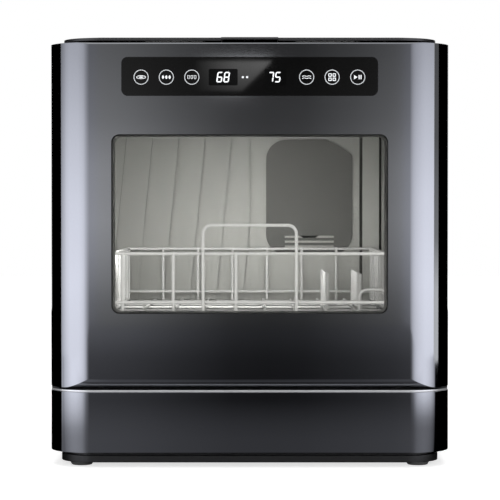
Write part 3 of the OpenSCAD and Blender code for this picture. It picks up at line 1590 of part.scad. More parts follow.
// Four glide shoes that run in the channel rails
module rack_glides() {
    x0 = rack_w / 2 - wire_r - 2;
    x1 = tub_w / 2 - rail_t - fit_gap;
    color("#8c8e90") for (m = [0, 1], y = [glide_y0, glide_y1]) mirror([m, 0, 0])
        block([x0, y - glide_l / 2, rail_z0 + fit_gap], [x1, y + glide_l / 2, rail_z1 - fit_gap]);
}

// ---------- output ----------

base_tray();
feet();
lower_panel();
trim_strip();
front_frame();
side_panel_left();
side_panel_right();
rear_cover();
top_cover();
tub_wrap();
tub_back();
vent_cover();
tub_floor();
door_seal();
rack_rails();
sump();
arm_post();
wash_pump();
drain_pump();
water_heater();
hoses();
hose_spigots();
inlet_valve();
mains_gland();
power_board();
water_tank();
fill_funnel();
vent_fan();
tub_lamp();
catch_magnets();
key_switch();
hinge_arms();
cabinet_screws();
door_shell();
door_inner_panel();
window_glass();
window_frame();
window_inner_glass();
window_seal();
control_glass();
control_board();
display_modules();
touch_springs();
hinge_clevises();
hinge_pins();
catch_strikes();
dispenser_cup();
door_screws();
dispenser_lid();
fill_lid();
release_key();
key_spring();
spray_arm();
filter_cup();
rack_front();
rack_back();
rack_sides();
rack_floor();
rack_tines();
rack_glides();
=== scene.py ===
# A countertop dishwasher dressed for the library: every section below is one piece or group of
# like pieces, in the order in which the machine is put together.

import json
import math

import bpy
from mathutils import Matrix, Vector

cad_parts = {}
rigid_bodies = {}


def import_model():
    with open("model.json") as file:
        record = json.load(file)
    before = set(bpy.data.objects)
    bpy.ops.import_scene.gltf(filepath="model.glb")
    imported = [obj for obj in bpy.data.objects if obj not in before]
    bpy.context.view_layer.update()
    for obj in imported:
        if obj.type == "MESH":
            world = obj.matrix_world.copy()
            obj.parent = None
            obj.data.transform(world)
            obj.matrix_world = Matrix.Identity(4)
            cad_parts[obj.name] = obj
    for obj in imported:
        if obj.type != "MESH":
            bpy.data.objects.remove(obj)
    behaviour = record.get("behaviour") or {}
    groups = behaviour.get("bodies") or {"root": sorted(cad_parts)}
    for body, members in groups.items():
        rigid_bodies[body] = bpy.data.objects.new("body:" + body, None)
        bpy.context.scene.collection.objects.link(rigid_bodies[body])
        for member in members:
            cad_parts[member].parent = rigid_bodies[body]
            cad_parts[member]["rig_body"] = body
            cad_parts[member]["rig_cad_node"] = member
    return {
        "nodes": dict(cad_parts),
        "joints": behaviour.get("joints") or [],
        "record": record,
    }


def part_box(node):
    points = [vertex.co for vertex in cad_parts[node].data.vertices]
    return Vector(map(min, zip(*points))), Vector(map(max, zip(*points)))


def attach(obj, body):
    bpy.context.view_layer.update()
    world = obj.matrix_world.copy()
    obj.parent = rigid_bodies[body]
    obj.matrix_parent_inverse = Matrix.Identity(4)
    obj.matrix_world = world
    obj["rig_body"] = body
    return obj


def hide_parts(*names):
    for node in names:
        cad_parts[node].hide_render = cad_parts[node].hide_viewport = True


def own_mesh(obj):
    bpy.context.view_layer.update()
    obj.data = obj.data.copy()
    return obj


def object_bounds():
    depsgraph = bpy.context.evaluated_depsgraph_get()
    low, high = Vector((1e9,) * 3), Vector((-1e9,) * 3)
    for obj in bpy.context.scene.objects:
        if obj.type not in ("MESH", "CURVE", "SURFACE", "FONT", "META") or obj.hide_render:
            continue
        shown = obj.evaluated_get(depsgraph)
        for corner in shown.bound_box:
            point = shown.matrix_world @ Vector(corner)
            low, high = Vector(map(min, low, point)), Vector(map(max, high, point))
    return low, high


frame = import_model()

cad_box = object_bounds()
cad = frame["nodes"]
bodies = frame["record"]["behaviour"]["bodies"]
body_of = {node: body for body, members in bodies.items() for node in members}
bpy.ops.object.select_all(action="DESELECT")

# ---------- Base tray ----------
# Basin-shaped floor of the machine, moulded in one piece from dark polypropylene. Its plinth stands
# back under the casing, and it carries the pumps and the arms of the hinges.


class Tone:
    """A socket of a material; arithmetic on it adds the Math nodes."""

    def __init__(self, finish, socket):
        self.finish = finish
        self.socket = socket

    def math(self, operation, *values):
        return self.finish.node("ShaderNodeMath", {"operation": operation}, dict(enumerate(values)))

    def __add__(self, other):
        return self.math("ADD", self, other)

    def __sub__(self, other):
        return self.math("SUBTRACT", self, other)

    def __mul__(self, other):
        return self.math("MULTIPLY", self, other)

    def __truediv__(self, other):
        return self.math("DIVIDE", self, other)

    def __radd__(self, other):
        return self.math("ADD", other, self)

    def __rsub__(self, other):
        return self.math("SUBTRACT", other, self)

    def __pow__(self, other):
        return self.math("POWER", self, other)

    def __abs__(self):
        return self.math("ABSOLUTE", self)

    def above(self, limit):
        """One where the value passes the limit, nought elsewhere."""
        return self.math("GREATER_THAN", self, limit)

    def at_least(self, limit):
        return self.math("MAXIMUM", self, limit)


class Finish:
    """A material under construction, with Object coordinates as its measure."""

    def __init__(self, name, **constants):
        self.material = bpy.data.materials.new(name)
        self.material.use_nodes = True
        self.nodes = self.material.node_tree.nodes
        self.links = self.material.node_tree.links
        self.shader = self.nodes["Principled BSDF"]
        self.out = self.nodes["Material Output"]
        for socket, value in constants.items():
            self.set(socket.replace("_", " ").title().replace("Ior", "IOR"), value)

    def plug(self, socket, value):
        if isinstance(value, Tone):
            self.links.new(value.socket, socket)
        else:
            socket.default_value = value

    def node(self, kind, settings=None, inputs=None, output=0):
        made = self.nodes.new(kind)
        for key, value in (settings or {}).items():
            if key == "stops":
                ramp = made.color_ramp
                while len(ramp.elements) < len(value):
                    ramp.elements.new(1.0)
                for stop, (place, colour) in zip(ramp.elements, value):
                    stop.position = place
                    stop.color = colour
            else:
                setattr(made, key, value)
        for key, value in (inputs or {}).items():
            self.plug(made.inputs[key], value)
        return Tone(self, made.outputs[output])

    def set(self, socket, value):
        self.plug(self.shader.inputs[socket], value)

    def coordinates(self, stretch=(1, 1, 1)):
        place = self.node("ShaderNodeTexCoord", output="Object")
        if stretch == (1, 1, 1):
            return place
        return self.node("ShaderNodeMapping", {}, {"Vector": place, "Scale": stretch})

    def noise(self, size, detail=2.0, stretch=(1, 1, 1)):
        return self.node("ShaderNodeTexNoise", {}, {
            "Vector": self.coordinates(stretch), "Scale": 1.0 / size, "Detail": detail})

    def cells(self, size, feature="F1"):
        return self.node("ShaderNodeTexVoronoi", {"feature": feature}, {
            "Vector": self.coordinates(), "Scale": 1.0 / size})

    def blend(self, factor, low, high):
        """A colour between two; the numbers are the Mix node's own sockets for colours."""
        return self.node("ShaderNodeMix", {"data_type": "RGBA"}, {0: factor, 6: low, 7: high}, 2)

    def wander(self, factor, colour, spread):
        """A colour that wanders by a spread, darker to lighter."""
        low = tuple(c * (1 - spread) for c in colour) + (1,)
        high = tuple(min(1, c * (1 + spread)) for c in colour) + (1,)
        return self.blend(factor, low, high)

    def tint(self, factor, colour, spread):
        self.set("Base Color", self.wander(factor, colour, spread))

    def bump(self, height, depth):
        self.set("Normal", self.node("ShaderNodeBump", {}, {
            "Height": height, "Distance": depth, "Strength": 1.0}))


def moulded(name, colour, roughness=0.45, grain=0.0006, depth=0.00004):
    """Injection-moulded plastic: a fine spark-eroded grain and slow cloudiness."""
    finish = Finish(name)
    fine = finish.noise(grain, 3)
    slow = finish.noise(0.06, 2)
    finish.tint(slow * 0.7 + fine * 0.3, colour, 0.06)
    finish.set("Roughness", slow * 0.05 + fine * 0.04 + (roughness - 0.045))
    finish.bump(fine, depth)
    return finish.material


def select_only(piece):
    bpy.ops.object.select_all(action="DESELECT")
    piece.select_set(True)
    bpy.context.view_layer.objects.active = piece


def keep(piece, name, body, material, smooth_angle=32):
    """Names a finished piece, puts its place into its mesh and fixes it to its body."""
    select_only(piece)
    bpy.ops.object.transform_apply(location=True, rotation=True, scale=True)
    piece.name = name
    piece.data.name = name
    piece.data.materials.clear()
    piece.data.materials.append(material)
    if smooth_angle:
        bpy.ops.object.shade_smooth_by_angle(angle=math.radians(smooth_angle))
        flats = piece.modifiers.new("broad_faces_stay_flat", "WEIGHTED_NORMAL")
        flats.keep_sharp = True
        bpy.ops.object.modifier_apply(modifier=flats.name)
    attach(piece, body)
    bpy.ops.object.select_all(action="DESELECT")
    return piece


def eased(node, name, material, width=0.0005, segments=2, angle=30, sink=0.0, cutting=None):
    """A moulded or pressed part with its edges eased, in place of the sharp-edged node."""
    same_point = 0.00001
    still_flat = math.radians(0.5)
    piece = cad[node].copy()
    piece.data = cad[node].data.copy()
    piece.parent = None
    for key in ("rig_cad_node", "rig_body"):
        if key in piece:
            del piece[key]
    bpy.context.scene.collection.objects.link(piece)
    select_only(piece)
    bpy.ops.object.mode_set(mode="EDIT")
    bpy.ops.mesh.select_all(action="SELECT")
    bpy.ops.mesh.remove_doubles(threshold=same_point)
    bpy.ops.mesh.dissolve_limited(angle_limit=still_flat)
    if sink:
        bpy.ops.transform.translate(value=(0, sink, 0))
    bpy.ops.object.mode_set(mode="OBJECT")
    if width:
        rounding = piece.modifiers.new("eased_edges", "BEVEL")
        rounding.width = width
        rounding.segments = segments
        rounding.limit_method = "ANGLE"
        rounding.angle_limit = math.radians(angle)
        rounding.use_clamp_overlap = True
        bpy.ops.object.modifier_apply(modifier=rounding.name)
    if cutting:
        cutting(piece)
    keep(piece, name, body_of[node], material)
    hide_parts(node)
    return piece


def dress(node, material):
    """Gives a node its material; a node's own shape is never touched."""
    piece = cad[node]
    if not piece.material_slots:
        piece.data.materials.append(material)
    for place in piece.material_slots:
        place.material = material


tray_plastic = moulded("tray_polypropylene", (0.014, 0.014, 0.0145), 0.36)
eased("base_tray", "plinth_tray", tray_plastic, 0.0008)

# ---------- Feet ----------
# Four feet of dusty grey moulded rubber, fixed under the plinth's corners and narrower where they
# stand on the worktop.


def rubber(name, colour, roughness=0.75):
    """Moulded rubber: matt, with a faint bloom."""
    finish = Finish(name)
    bloom = finish.noise(0.012, 4)
    finish.tint(bloom, colour, 0.22)
    finish.set("Roughness", bloom * 0.15 + (roughness - 0.07))
    finish.bump(finish.noise(0.0012, 3), 0.00006)
    return finish.material


eased("feet", "rubber_feet", rubber("foot_rubber", (0.16, 0.16, 0.16)), 0.0008, segments=3)

# ---------- Side panels, front frame and rear cover ----------
# Each side is one sheet of steel, folded to a flange under the top cover and a return at the back,
# and powder-coated black. The moulded rear cover is screwed on over the returns, and a flat frame
# closes the front round the chamber's mouth.


def powder_coat(name, colour):
    """Baked powder paint on sheet: an orange-peel skin."""
    finish = Finish(name)
    peel = finish.noise(0.0016, 2)
    slow = finish.noise(0.05, 2)
    finish.tint(slow, colour, 0.12)
    finish.set("Roughness", slow * 0.08 + 0.38)
    finish.bump(peel, 0.00005)
    return finish.material


black_coat = powder_coat("black_powder_coat", (0.006, 0.006, 0.0065))
eased("side_panel_left", "left_side_sheet", black_coat, 0.0006)
eased("side_panel_right", "right_side_sheet", black_coat, 0.0006)
eased("front_frame", "mouth_frame", powder_coat("frame_coat", (0.012, 0.012, 0.013)), 0.0003)
rear_plastic = moulded("rear_polystyrene", (0.018, 0.018, 0.019), 0.5)
eased("rear_cover", "rear_moulding", rear_plastic, 0.0004)

# ---------- Lower panel and bright strip ----------
# Fixed front skirt, moulded round both corners and lacquered graphite like the door, and a
# polished strip that lies on it under the door.


def graphite_lacquer(name, colour):
    """Metallic lacquer on a moulding: fine flake, and a skin that is nearly flat."""
    finish = Finish(name, metallic=1.0)
    flake = finish.cells(0.0004)
    slow = finish.noise(0.09, 2)
    finish.tint(flake * 0.6 + slow * 0.4, colour, 0.07)
    finish.set("Roughness", slow * 0.02 + flake * 0.02 + 0.03)
    finish.bump(finish.noise(0.006, 2), 0.0000015)
    return finish.material


def true_arcs(piece):
    """Shades the round front corners as true arcs, however long their facets are."""
    corner_radius = 0.044
    off_arc, off_end, tilted, facing = 0.0003, -0.00001, 0.05, 0.9
    mesh = piece.data
    middle_x, middle_y = cad_box[1][0] - corner_radius, cad_box[0][1] + corner_radius
    normals = [corner.vector.copy() for corner in mesh.corner_normals]
    for face in mesh.polygons:
        if abs(face.normal.z) > tilted:
            continue
        for index in face.loop_indices:
            place = mesh.vertices[mesh.loops[index].vertex_index].co
            across, ahead = abs(place.x) - middle_x, middle_y - place.y
            on_arc = abs(math.hypot(across, ahead) - corner_radius) < off_arc
            if on_arc and across > off_end and ahead > 0:
                normal = Vector((math.copysign(across, place.x), -ahead, 0)).normalized()
                if normal.dot(face.normal) > facing:
                    normals[index] = normal
    mesh.normals_split_custom_set(normals)


graphite = graphite_lacquer("graphite_lacquer", (0.295, 0.303, 0.322))
true_arcs(eased("lower_panel", "front_skirt", graphite, 0.0006))


def bright_metal(name, colour, roughness, spread=0.04, metallic=1.0):
    """Polished or plated metal with faint handling haze."""
    finish = Finish(name, metallic=metallic)
    haze = finish.noise(0.02, 4)
    finish.tint(haze, colour, spread)
    finish.set("Roughness", haze * 0.08 + (roughness - 0.04))
    return finish.material


strip_silver = bright_metal("strip_silver", (0.80, 0.81, 0.83), 0.22, metallic=0.5)
eased("trim_strip", "polished_strip", strip_silver, 0.0003)

# ---------- Top cover ----------
# Shallow crowned lid of the casing, moulded in glossy black, with its upright edge rolled over
# into the slope.

top_gloss = moulded("cover_gloss", (0.030, 0.030, 0.032), 0.28, grain=0.0009, depth=0.00002)
eased("top_cover", "crowned_cover", top_gloss, 0.0006, segments=3, angle=20)

# ---------- Wash chamber ----------
# Tub of satin stainless steel: a folded wrap for both walls and the roof, a pressed back wall
# with leaning panels, and a floor with holes for the sump and the spray arm's pipe. A grey
# moulding covers the drying vent.


def ground_steel(name, colour, along, metallic, roughness):
    """Stainless sheet with the lines of a grinding belt along one axis; gives its own colour."""
    finish = Finish(name, metallic=metallic)
    stretch = {"x": (0.02, 1, 1), "y": (1, 0.02, 1), "z": (1, 1, 0.02)}[along]
    lines = finish.noise(0.0011, 3, stretch)
    slow = finish.noise(0.08, 3)
    finish.set("Roughness", lines * 0.14 + slow * 0.08 + (roughness - 0.11))
    finish.bump(lines, 0.00003)
    return finish, finish.wander(lines * 0.5 + slow * 0.5, colour, 0.10)


def brushed(name, colour, along="z"):
    """Satin stainless sheet."""
    finish, sheen = ground_steel(name, colour, along, 1.0, 0.32)
    finish.set("Base Color", sheen)
    return finish.material


def steel_with_painted_riser_shade(name, colour):
    """Pressed steel ground matt, with painted shade on the steps' risers: faces turned sideways are
    darkened.
    """
    finish, sheen = ground_steel(name, colour, "z", 0.62, 0.38)
    # Painted shade: every face turned sideways, the risers of the steps, gets a darker colour for
    # the shade in them.
    outwards = finish.node("ShaderNodeNewGeometry", output="True Normal")
    sideways = finish.node("ShaderNodeSeparateXYZ", {}, {0: outwards}, "X")
    painted_shade = tuple(c * 0.15 for c in colour) + (1,)
    finish.set("Base Color", finish.blend(abs(sideways).above(0.3), sheen, painted_shade))
    return finish.material


eased("tub_wrap", "tub_walls", brushed("tub_steel", (0.50, 0.50, 0.49)), 0.0006)
back_steel = steel_with_painted_riser_shade("back_steel", (0.52, 0.52, 0.505))
eased("tub_back", "tub_back_pressing", back_steel, 0.0004, angle=12)
eased("tub_floor", "tub_floor_sheet", brushed("floor_steel", (0.48, 0.48, 0.47), "y"), 0.0004)
vent_grey = moulded("vent_grey", (0.13, 0.13, 0.125), 0.5)
eased("vent_cover", "vent_grille", vent_grey, 0.0006, segments=3)

# ---------- Door seal ----------
# Black rubber profile, extruded, joined into a ring and pushed on round the chamber's mouth. Its
# lip stands just clear of the closed door.

seal_rubber = rubber("seal_rubber", (0.008, 0.008, 0.008), 0.6)
eased("door_seal", "mouth_seal", seal_rubber, 0.0005)

# ---------- Rack rails and lamp ----------
# White acetal channels fixed to both walls of the tub, in which the rack's shoes run, and the
# frosted lens of the lamp under the roof. All are injection-moulded.

eased("rack_rails", "rail_channels", moulded("rail_acetal", (0.62, 0.62, 0.61), 0.35), 0.0004)


def lit_lens(name, colour):
    """Frosted polycarbonate with a weak lamp behind it."""
    finish = Finish(name, emission_strength=0.15)
    frost = finish.noise(0.002, 3)
    finish.tint(frost, colour, 0.05)
    finish.set("Emission Color", finish.blend(
        frost, tuple(c * 0.9 for c in colour) + (1,), colour + (1,)))
    finish.set("Roughness", frost * 0.2 + 0.35)
    return finish.material


eased("tub_lamp", "lamp_lens", lit_lens("lamp_frost", (0.95, 0.96, 0.94)), 0.0012, segments=3)

# ---------- Sump, spray arm and filter ----------
# Pot of dark glass-filled plastic under the tub's floor, with the filter's steel cup hanging in it
# by a perforated plate. The spray arm turns on a post of its own, on the pipe that feeds it.

dark_fill = moulded("glass_filled_plastic", (0.055, 0.056, 0.058), 0.55)
eased("sump", "sump_pot", dark_fill, 0.0008)
eased("arm_post", "arm_bearing", dark_fill, 0.0005)
arm_plastic = moulded("arm_plastic", (0.14, 0.145, 0.15), 0.4)
eased("spray_arm", "turning_arm", arm_plastic, 0.0012, segments=3)


def perforated(name, colour):
    """Stainless sheet with rows of small punched holes, painted dark for the shade seen through
    them.
    """
    finish = Finish(name, metallic=1.0)
    painted_holes = finish.cells(0.0022).above(0.34)
    haze = finish.noise(0.02, 3)
    # Painted shade: the holes are not cut; they are coloured dark where the shade behind them would
    # show.
    painted_shade = tuple(c * 0.12 for c in colour) + (1,)
    finish.set("Base Color", finish.blend(painted_holes, painted_shade, colour + (1,)))
    finish.set("Roughness", haze * 0.15 + 0.25)
    finish.bump(painted_holes, 0.0002)
    return finish.material


eased("filter_cup", "filter_basket", perforated("filter_mesh", (0.50, 0.51, 0.52)), 0.0004)

# ---------- Pumps, heater and hoses ----------
# Bought-in machinery under the tub: two pumps, a flow heater and the inlet valve, joined by black
# rubber hoses pushed on to their ports. The lead's gland sits in the rear cover.

cast_grey = bright_metal("pump_aluminium", (0.42, 0.43, 0.45), 0.42, spread=0.10)
eased("wash_pump", "wash_pump_body", cast_grey, 0.0010, segments=3)
pump_plastic = moulded("pump_plastic", (0.10, 0.105, 0.11))
eased("drain_pump", "drain_pump_body", pump_plastic, 0.0010, segments=3)
heater_steel = brushed("heater_steel", (0.55, 0.56, 0.58), "x")
eased("water_heater", "flow_heater", heater_steel, 0.0008, segments=3)
dress("hoses", rubber("hose_rubber", (0.022, 0.022, 0.023), 0.6))
eased("inlet_valve", "fill_valve", moulded("valve_nylon", (0.55, 0.56, 0.57), 0.4), 0.0006)
spigot_nylon = moulded("spigot_nylon", (0.60, 0.61, 0.62), 0.4)
eased("hose_spigots", "rear_spigots", spigot_nylon, 0.0008, segments=3)
eased("mains_gland", "lead_gland", moulded("gland_nylon", (0.012, 0.012, 0.012), 0.45), 0.0005)

# ---------- Circuit boards ----------
# Green glass-fibre laminate with etched copper tracks under solder resist. One board feeds the
# machine and the other stands behind the control glass.


def laminate(name):
    """Board green with lighter copper tracks under the resist."""
    finish = Finish(name, coat_weight=0.2)
    tracks = finish.cells(0.006, "DISTANCE_TO_EDGE").above(0.07)
    grain = finish.noise(0.002, 2)
    finish.set("Base Color", finish.blend(tracks, (0.06, 0.20, 0.09, 1), (0.015, 0.09, 0.04, 1)))
    finish.set("Roughness", grain * 0.2 + 0.3)
    finish.bump(tracks, 0.00003)
    return finish.material


board_green = laminate("board_laminate")
eased("power_board", "mains_board", board_green, 0.0004)
eased("control_board", "touch_board", board_green, 0.0002)

# ---------- Water tank, funnel and fan ----------
# Milky polypropylene tank, blow-moulded, that stands on two legs behind the tub, with the moulded
# funnel that fills it, and the black fan of the drying vent.


def milky(name, colour):
    """Natural polypropylene: milky, with flow clouds."""
    finish = Finish(name)
    clouds = finish.noise(0.04, 4)
    finish.tint(clouds, colour, 0.06)
    finish.set("Roughness", clouds * 0.15 + 0.3)
    finish.bump(finish.noise(0.003, 2), 0.00004)
    return finish.material


tank_plastic = milky("tank_polypropylene", (0.62, 0.65, 0.67))
eased("water_tank", "blown_tank", tank_plastic, 0.0015, segments=3)
eased("fill_funnel", "funnel_moulding", milky("funnel_white", (0.74, 0.76, 0.78)), 0.0006)
eased("vent_fan", "fan_housing", moulded("fan_black", (0.014, 0.014, 0.015)), 0.0006)

# ---------- Fill lid and release key ----------
# Glossy black mouldings in the top cover: one turns up on stub pins, the other goes down on a
# coil spring over its switch.

eased("fill_lid", "water_lid", top_gloss, 0.0005, segments=3)
key_gloss = moulded("key_gloss", (0.045, 0.045, 0.047), 0.25, grain=0.0009, depth=0.00002)
eased("release_key", "door_key", key_gloss, 0.0004, segments=3, angle=20)
eased("key_switch", "switch_block", moulded("switch_plastic", (0.05, 0.05, 0.052)), 0.0005)
spring_wire = bright_metal("spring_wire", (0.55, 0.56, 0.57), 0.25)
release_spring = eased("key_spring", "release_spring", spring_wire, 0)
spring_foot, spring_head = (corner[2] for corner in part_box("key_spring"))
key_travel = next(joint["range_m"][1] for joint in frame["joints"] if joint["name"] == "key_press")
1 - key_travel / (spring_head - spring_foot)
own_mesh(release_spring)

# ---------- Hinges and catches ----------
# Zinc-plated steel arms that stand on the tray, cast clevises in the door's lower corners with
# ground steel pins through them, and plated magnets that meet steel strikes.

zinc = bright_metal("zinc_plate", (0.48, 0.49, 0.50), 0.30, spread=0.12)
eased("hinge_arms", "hinge_arm_pair", zinc, 0.0003)
cast_zinc = bright_metal("cast_zinc", (0.20, 0.205, 0.21), 0.5, spread=0.12)
eased("hinge_clevises", "clevis_pair", cast_zinc, 0.0004)
eased("hinge_pins", "pin_pair", bright_metal("ground_pin", (0.60, 0.61, 0.62), 0.15), 0.0003)
magnet_nickel = bright_metal("magnet_nickel", (0.45, 0.46, 0.47), 0.25)
eased("catch_magnets", "magnet_pair", magnet_nickel, 0.0003)
eased("catch_strikes", "strike_pair", zinc, 0.0002)

# ---------- Screws ----------
# Plated steel screws with flat round heads: six hold the rear cover and six the door's inner
# panel. Each head has a driver's cross pressed into it.


def driver_crosses(screws):
    """A driver's cross sunk in the middle of each head."""
    cross_size = (0.0026, 0.0018, 0.0006)
    straight_back, fewest_corners = 0.99, 12
    heads = [face.center.copy() for face in screws.data.polygons
             if face.normal.y > straight_back and len(face.vertices) >= fewest_corners]
    bpy.ops.object.select_all(action="DESELECT")
    blades = []
    for centre in heads:
        for turn in (45, 135):
            bpy.ops.mesh.primitive_cube_add(size=1, location=centre, scale=cross_size,
                                            rotation=(0, math.radians(turn), 0))
            blades.append(bpy.context.object)
    for blade in blades:
        blade.select_set(True)
    bpy.ops.object.join()
    cutter = bpy.context.object
    select_only(screws)
    cross = screws.modifiers.new("driver_cross", "BOOLEAN")
    cross.object = cutter
    cross.solver = "EXACT"
    cross.use_self = True
    bpy.ops.object.modifier_apply(modifier=cross.name)
    bpy.data.objects.remove(cutter)


screw_steel = bright_metal("screw_steel", (0.50, 0.50, 0.51), 0.22)
eased("cabinet_screws", "rear_screws", screw_steel, 0.0002, cutting=driver_crosses)
eased("door_screws", "panel_screws", screw_steel, 0.0002, cutting=driver_crosses)

# ---------- Door shell ----------
# Moulded in one piece and lacquered graphite, with soft vertical corners. It is open at the back,
# and the window and the seat of the control glass are cut into its face.

true_arcs(eased("door_shell", "door_skin", graphite, 0.0003, angle=25))

# ---------- Door inner panel ----------
# Pressed stainless liner that closes the door's back, ground from side to side and held to the
# shell by its six screws.

inner_steel = brushed("inner_panel_steel", (0.48, 0.48, 0.47), "x")
eased("door_inner_panel", "door_liner", inner_steel, 0.0005)

# ---------- Window ----------
# Two clear panes with a dark moulded tunnel between them: the outer one is bonded to the door's
# skin, the inner one sits in rubber.


def pane(name, tint):
    """Thin clear glass: it passes light straight through and mirrors more at a slant."""
    finish = Finish(name, base_color=(0.02, 0.02, 0.02, 1))
    finish.set("Roughness", finish.noise(0.05, 3) * 0.03 + 0.05)
    clear = finish.node("ShaderNodeBsdfTransparent", {}, {"Color": tint + (1,)})
    slant = finish.node("ShaderNodeLayerWeight", {}, {"Blend": 0.5}, "Facing")
    mirrored = slant ** 5 * 0.9 + 0.04
    mixed = finish.node("ShaderNodeMixShader", {}, {0: mirrored, 1: clear})
    finish.links.new(finish.shader.outputs[0], mixed.socket.node.inputs[2])
    finish.links.new(mixed.socket, finish.out.inputs["Surface"])
    return finish.material


eased("window_glass", "outer_pane", pane("outer_glass", (0.81, 0.81, 0.80)), 0.0004)
eased("window_inner_glass", "inner_pane", pane("inner_glass", (0.89, 0.89, 0.88)), 0.0003)
eased("window_frame", "window_tunnel", moulded("tunnel_grey", (0.07, 0.07, 0.07), 0.4), 0.0005)
eased("window_seal", "pane_rubber", seal_rubber, 0.0004)

# ---------- Control glass ----------
# Black glass, painted on its back and bonded into its seat in the door's face. Its edges are
# ground, and it lies a hair below the face.


def black_glass(name):
    """Back-painted glass, polished flat."""
    finish = Finish(name)
    smears = finish.noise(0.03, 4)
    finish.tint(smears, (0.0018, 0.0018, 0.0019), 0.2)
    finish.set("Roughness", smears * 0.02 + 0.02)
    return finish.material


glass_sink = 0.00012
eased("control_glass", "touch_glass", black_glass("black_glass"), 0.0003, sink=glass_sink)

# ---------- Marks on the control glass ----------
# Rings round the six touch places, a pictogram in each, two dots and two numerals. They are
# printed on the glass in white ink that lets the light behind it through.

glass_low, glass_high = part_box("control_glass")
glass_face = glass_low[1] + glass_sink
print_drop = 0.0008
glass_middle = (glass_low[2] + glass_high[2]) / 2 - print_drop
ink_coat = 0.00003


def ring_of(radius_x, radius_z, points=40):
    """An ellipse's outline about its middle."""
    turns = [2 * math.pi * k / points for k in range(points)]
    return [(radius_x * math.cos(turn), radius_z * math.sin(turn)) for turn in turns]


def bar(x0, z0, x1, z1, width):
    """A bar with pointed ends from one place to another."""
    reach = Vector((x1 - x0, z1 - z0))
    ahead = reach.normalized() * width / 2
    aside = Vector((-ahead.y, ahead.x))
    start, end = Vector((x0, z0)), Vector((x1, z1))
    return [tuple(point) for point in (
        start, start + ahead - aside, end - ahead - aside,
        end, end - ahead + aside, start + ahead + aside)]


def block_of(width, height, corner=0.0003):
    """A rectangle with clipped corners."""
    w, h = width / 2, height / 2
    return [(-w + corner, -h), (w - corner, -h), (w, -h + corner), (w, h - corner),
            (w - corner, h), (-w + corner, h), (-w, h - corner), (-w, -h + corner)]


def mark(outline, x=0.0, z=0.0, line=0.0, coats=2):
    """A printed mark on the glass: a filled outline, or a line along it, some coats high."""
    bpy.ops.mesh.primitive_circle_add(vertices=len(outline), radius=1, fill_type="NGON")
    made = bpy.context.object
    for vertex, (across, up) in zip(made.data.vertices, outline):
        vertex.co = (x + across, glass_face, glass_middle + z + up)
    bpy.ops.object.mode_set(mode="EDIT")
    bpy.ops.mesh.select_all(action="SELECT")
    if line:
        bpy.ops.mesh.inset(thickness=line, use_even_offset=True)
        bpy.ops.mesh.delete(type="FACE")
        bpy.ops.mesh.select_all(action="SELECT")
    bpy.ops.mesh.extrude_region_move(TRANSFORM_OT_translate={"value": (0, -ink_coat * coats, 0)})
    bpy.ops.mesh.select_all(action="SELECT")
    bpy.ops.mesh.normals_make_consistent(inside=False)
    bpy.ops.object.mode_set(mode="OBJECT")
    return made


def printed(pieces, name, material):
    """Several marks made one piece, on the door's control glass."""
    bpy.ops.object.select_all(action="DESELECT")
    for piece in pieces:
        piece.select_set(True)
    bpy.context.view_layer.objects.active = pieces[0]
    bpy.ops.object.join()
    return keep(bpy.context.object, name, "door", material, 0)


def numeral(digits, middle):
    """Leaning seven-segment digits; a segment runs between two points of the digit's frame."""
    width, height, pitch, lean, stroke = 0.0046, 0.0096, 0.0072, 0.14, 0.0013
    segment_ends = {"a": (0, 1, 1, 1), "b": (1, 1, 1, 0), "c": (1, 0, 1, -1), "d": (0, -1, 1, -1),
                    "e": (0, 0, 0, -1), "f": (0, 1, 0, 0), "g": (0, 0, 1, 0)}
    segments_of = {"5": "acdfg", "6": "acdefg", "7": "abc", "8": "abcdefg"}
    made = []
    for place, digit in enumerate(digits):
        left = middle + (place - (len(digits) - 1) / 2) * pitch - width / 2
        for segment in segments_of[digit]:
            x0, z0, x1, z1 = segment_ends[segment]
            lower, upper = z0 * height / 2, z1 * height / 2
            outline = bar(left + x0 * width, lower, left + x1 * width, upper, stroke)
            made.append(mark([(x + z * lean, z) for x, z in outline]))
    return made


def plate_mark(middle):
    return [mark(ring_of(0.0050, 0.0019), middle, line=0.0006),
            mark(ring_of(0.0022, 0.0007, 24), middle)]


def drops_mark(middle):
    return [mark(ring_of(0.0011, 0.0018, 20), middle + step * 0.0034) for step in (-1, 0, 1)]


def cups_mark(middle):
    half_rim, half_foot, half_height = 0.0013, 0.0009, 0.0018
    cup = [(-half_foot, -half_height), (half_foot, -half_height),
           (half_rim, half_height), (-half_rim, half_height)]
    return [mark(cup, middle + step * 0.0034, line=0.0004) for step in (-1, 0, 1)]


def waves_mark(middle):
    """Two rows of four short bars that rise and fall in turn."""
    length, rise, row = 0.0024, 0.0004, 0.0011
    return [mark(bar(middle + (step - 2) * length, side * row - rise * (-1) ** step,
                     middle + (step - 1) * length, side * row + rise * (-1) ** step, 0.0007))
            for step in range(4) for side in (-1, 1)]


def grid_mark(middle):
    return [mark(block_of(0.0034, 0.0034), middle + i * 0.0022, k * 0.0022, line=0.0008)
            for i in (-1, 1) for k in (-1, 1)]


def start_pause_mark(middle):
    arrow = [(-0.0038, -0.0022), (-0.0002, 0.0), (-0.0038, 0.0022)]
    return [mark(arrow, middle)] + [
        mark(block_of(0.0011, 0.0044, 0.0002), middle + x) for x in (0.0014, 0.0034)]


touch_marks = {-0.1124: plate_mark, -0.0863: drops_mark, -0.0599: cups_mark,
               0.0589: waves_mark, 0.0853: grid_mark, 0.1118: start_pause_mark}
rings = [mark(ring_of(0.00775, 0.00775, 64), x, line=0.00075) for x in touch_marks]
marks = [made for x, pictogram in touch_marks.items() for made in pictogram(x)]
marks += [mark(ring_of(0.0011, 0.0011, 20), x) for x in (-0.00705, -0.00269)]
numerals = numeral("68", -0.0275) + numeral("75", 0.0255)


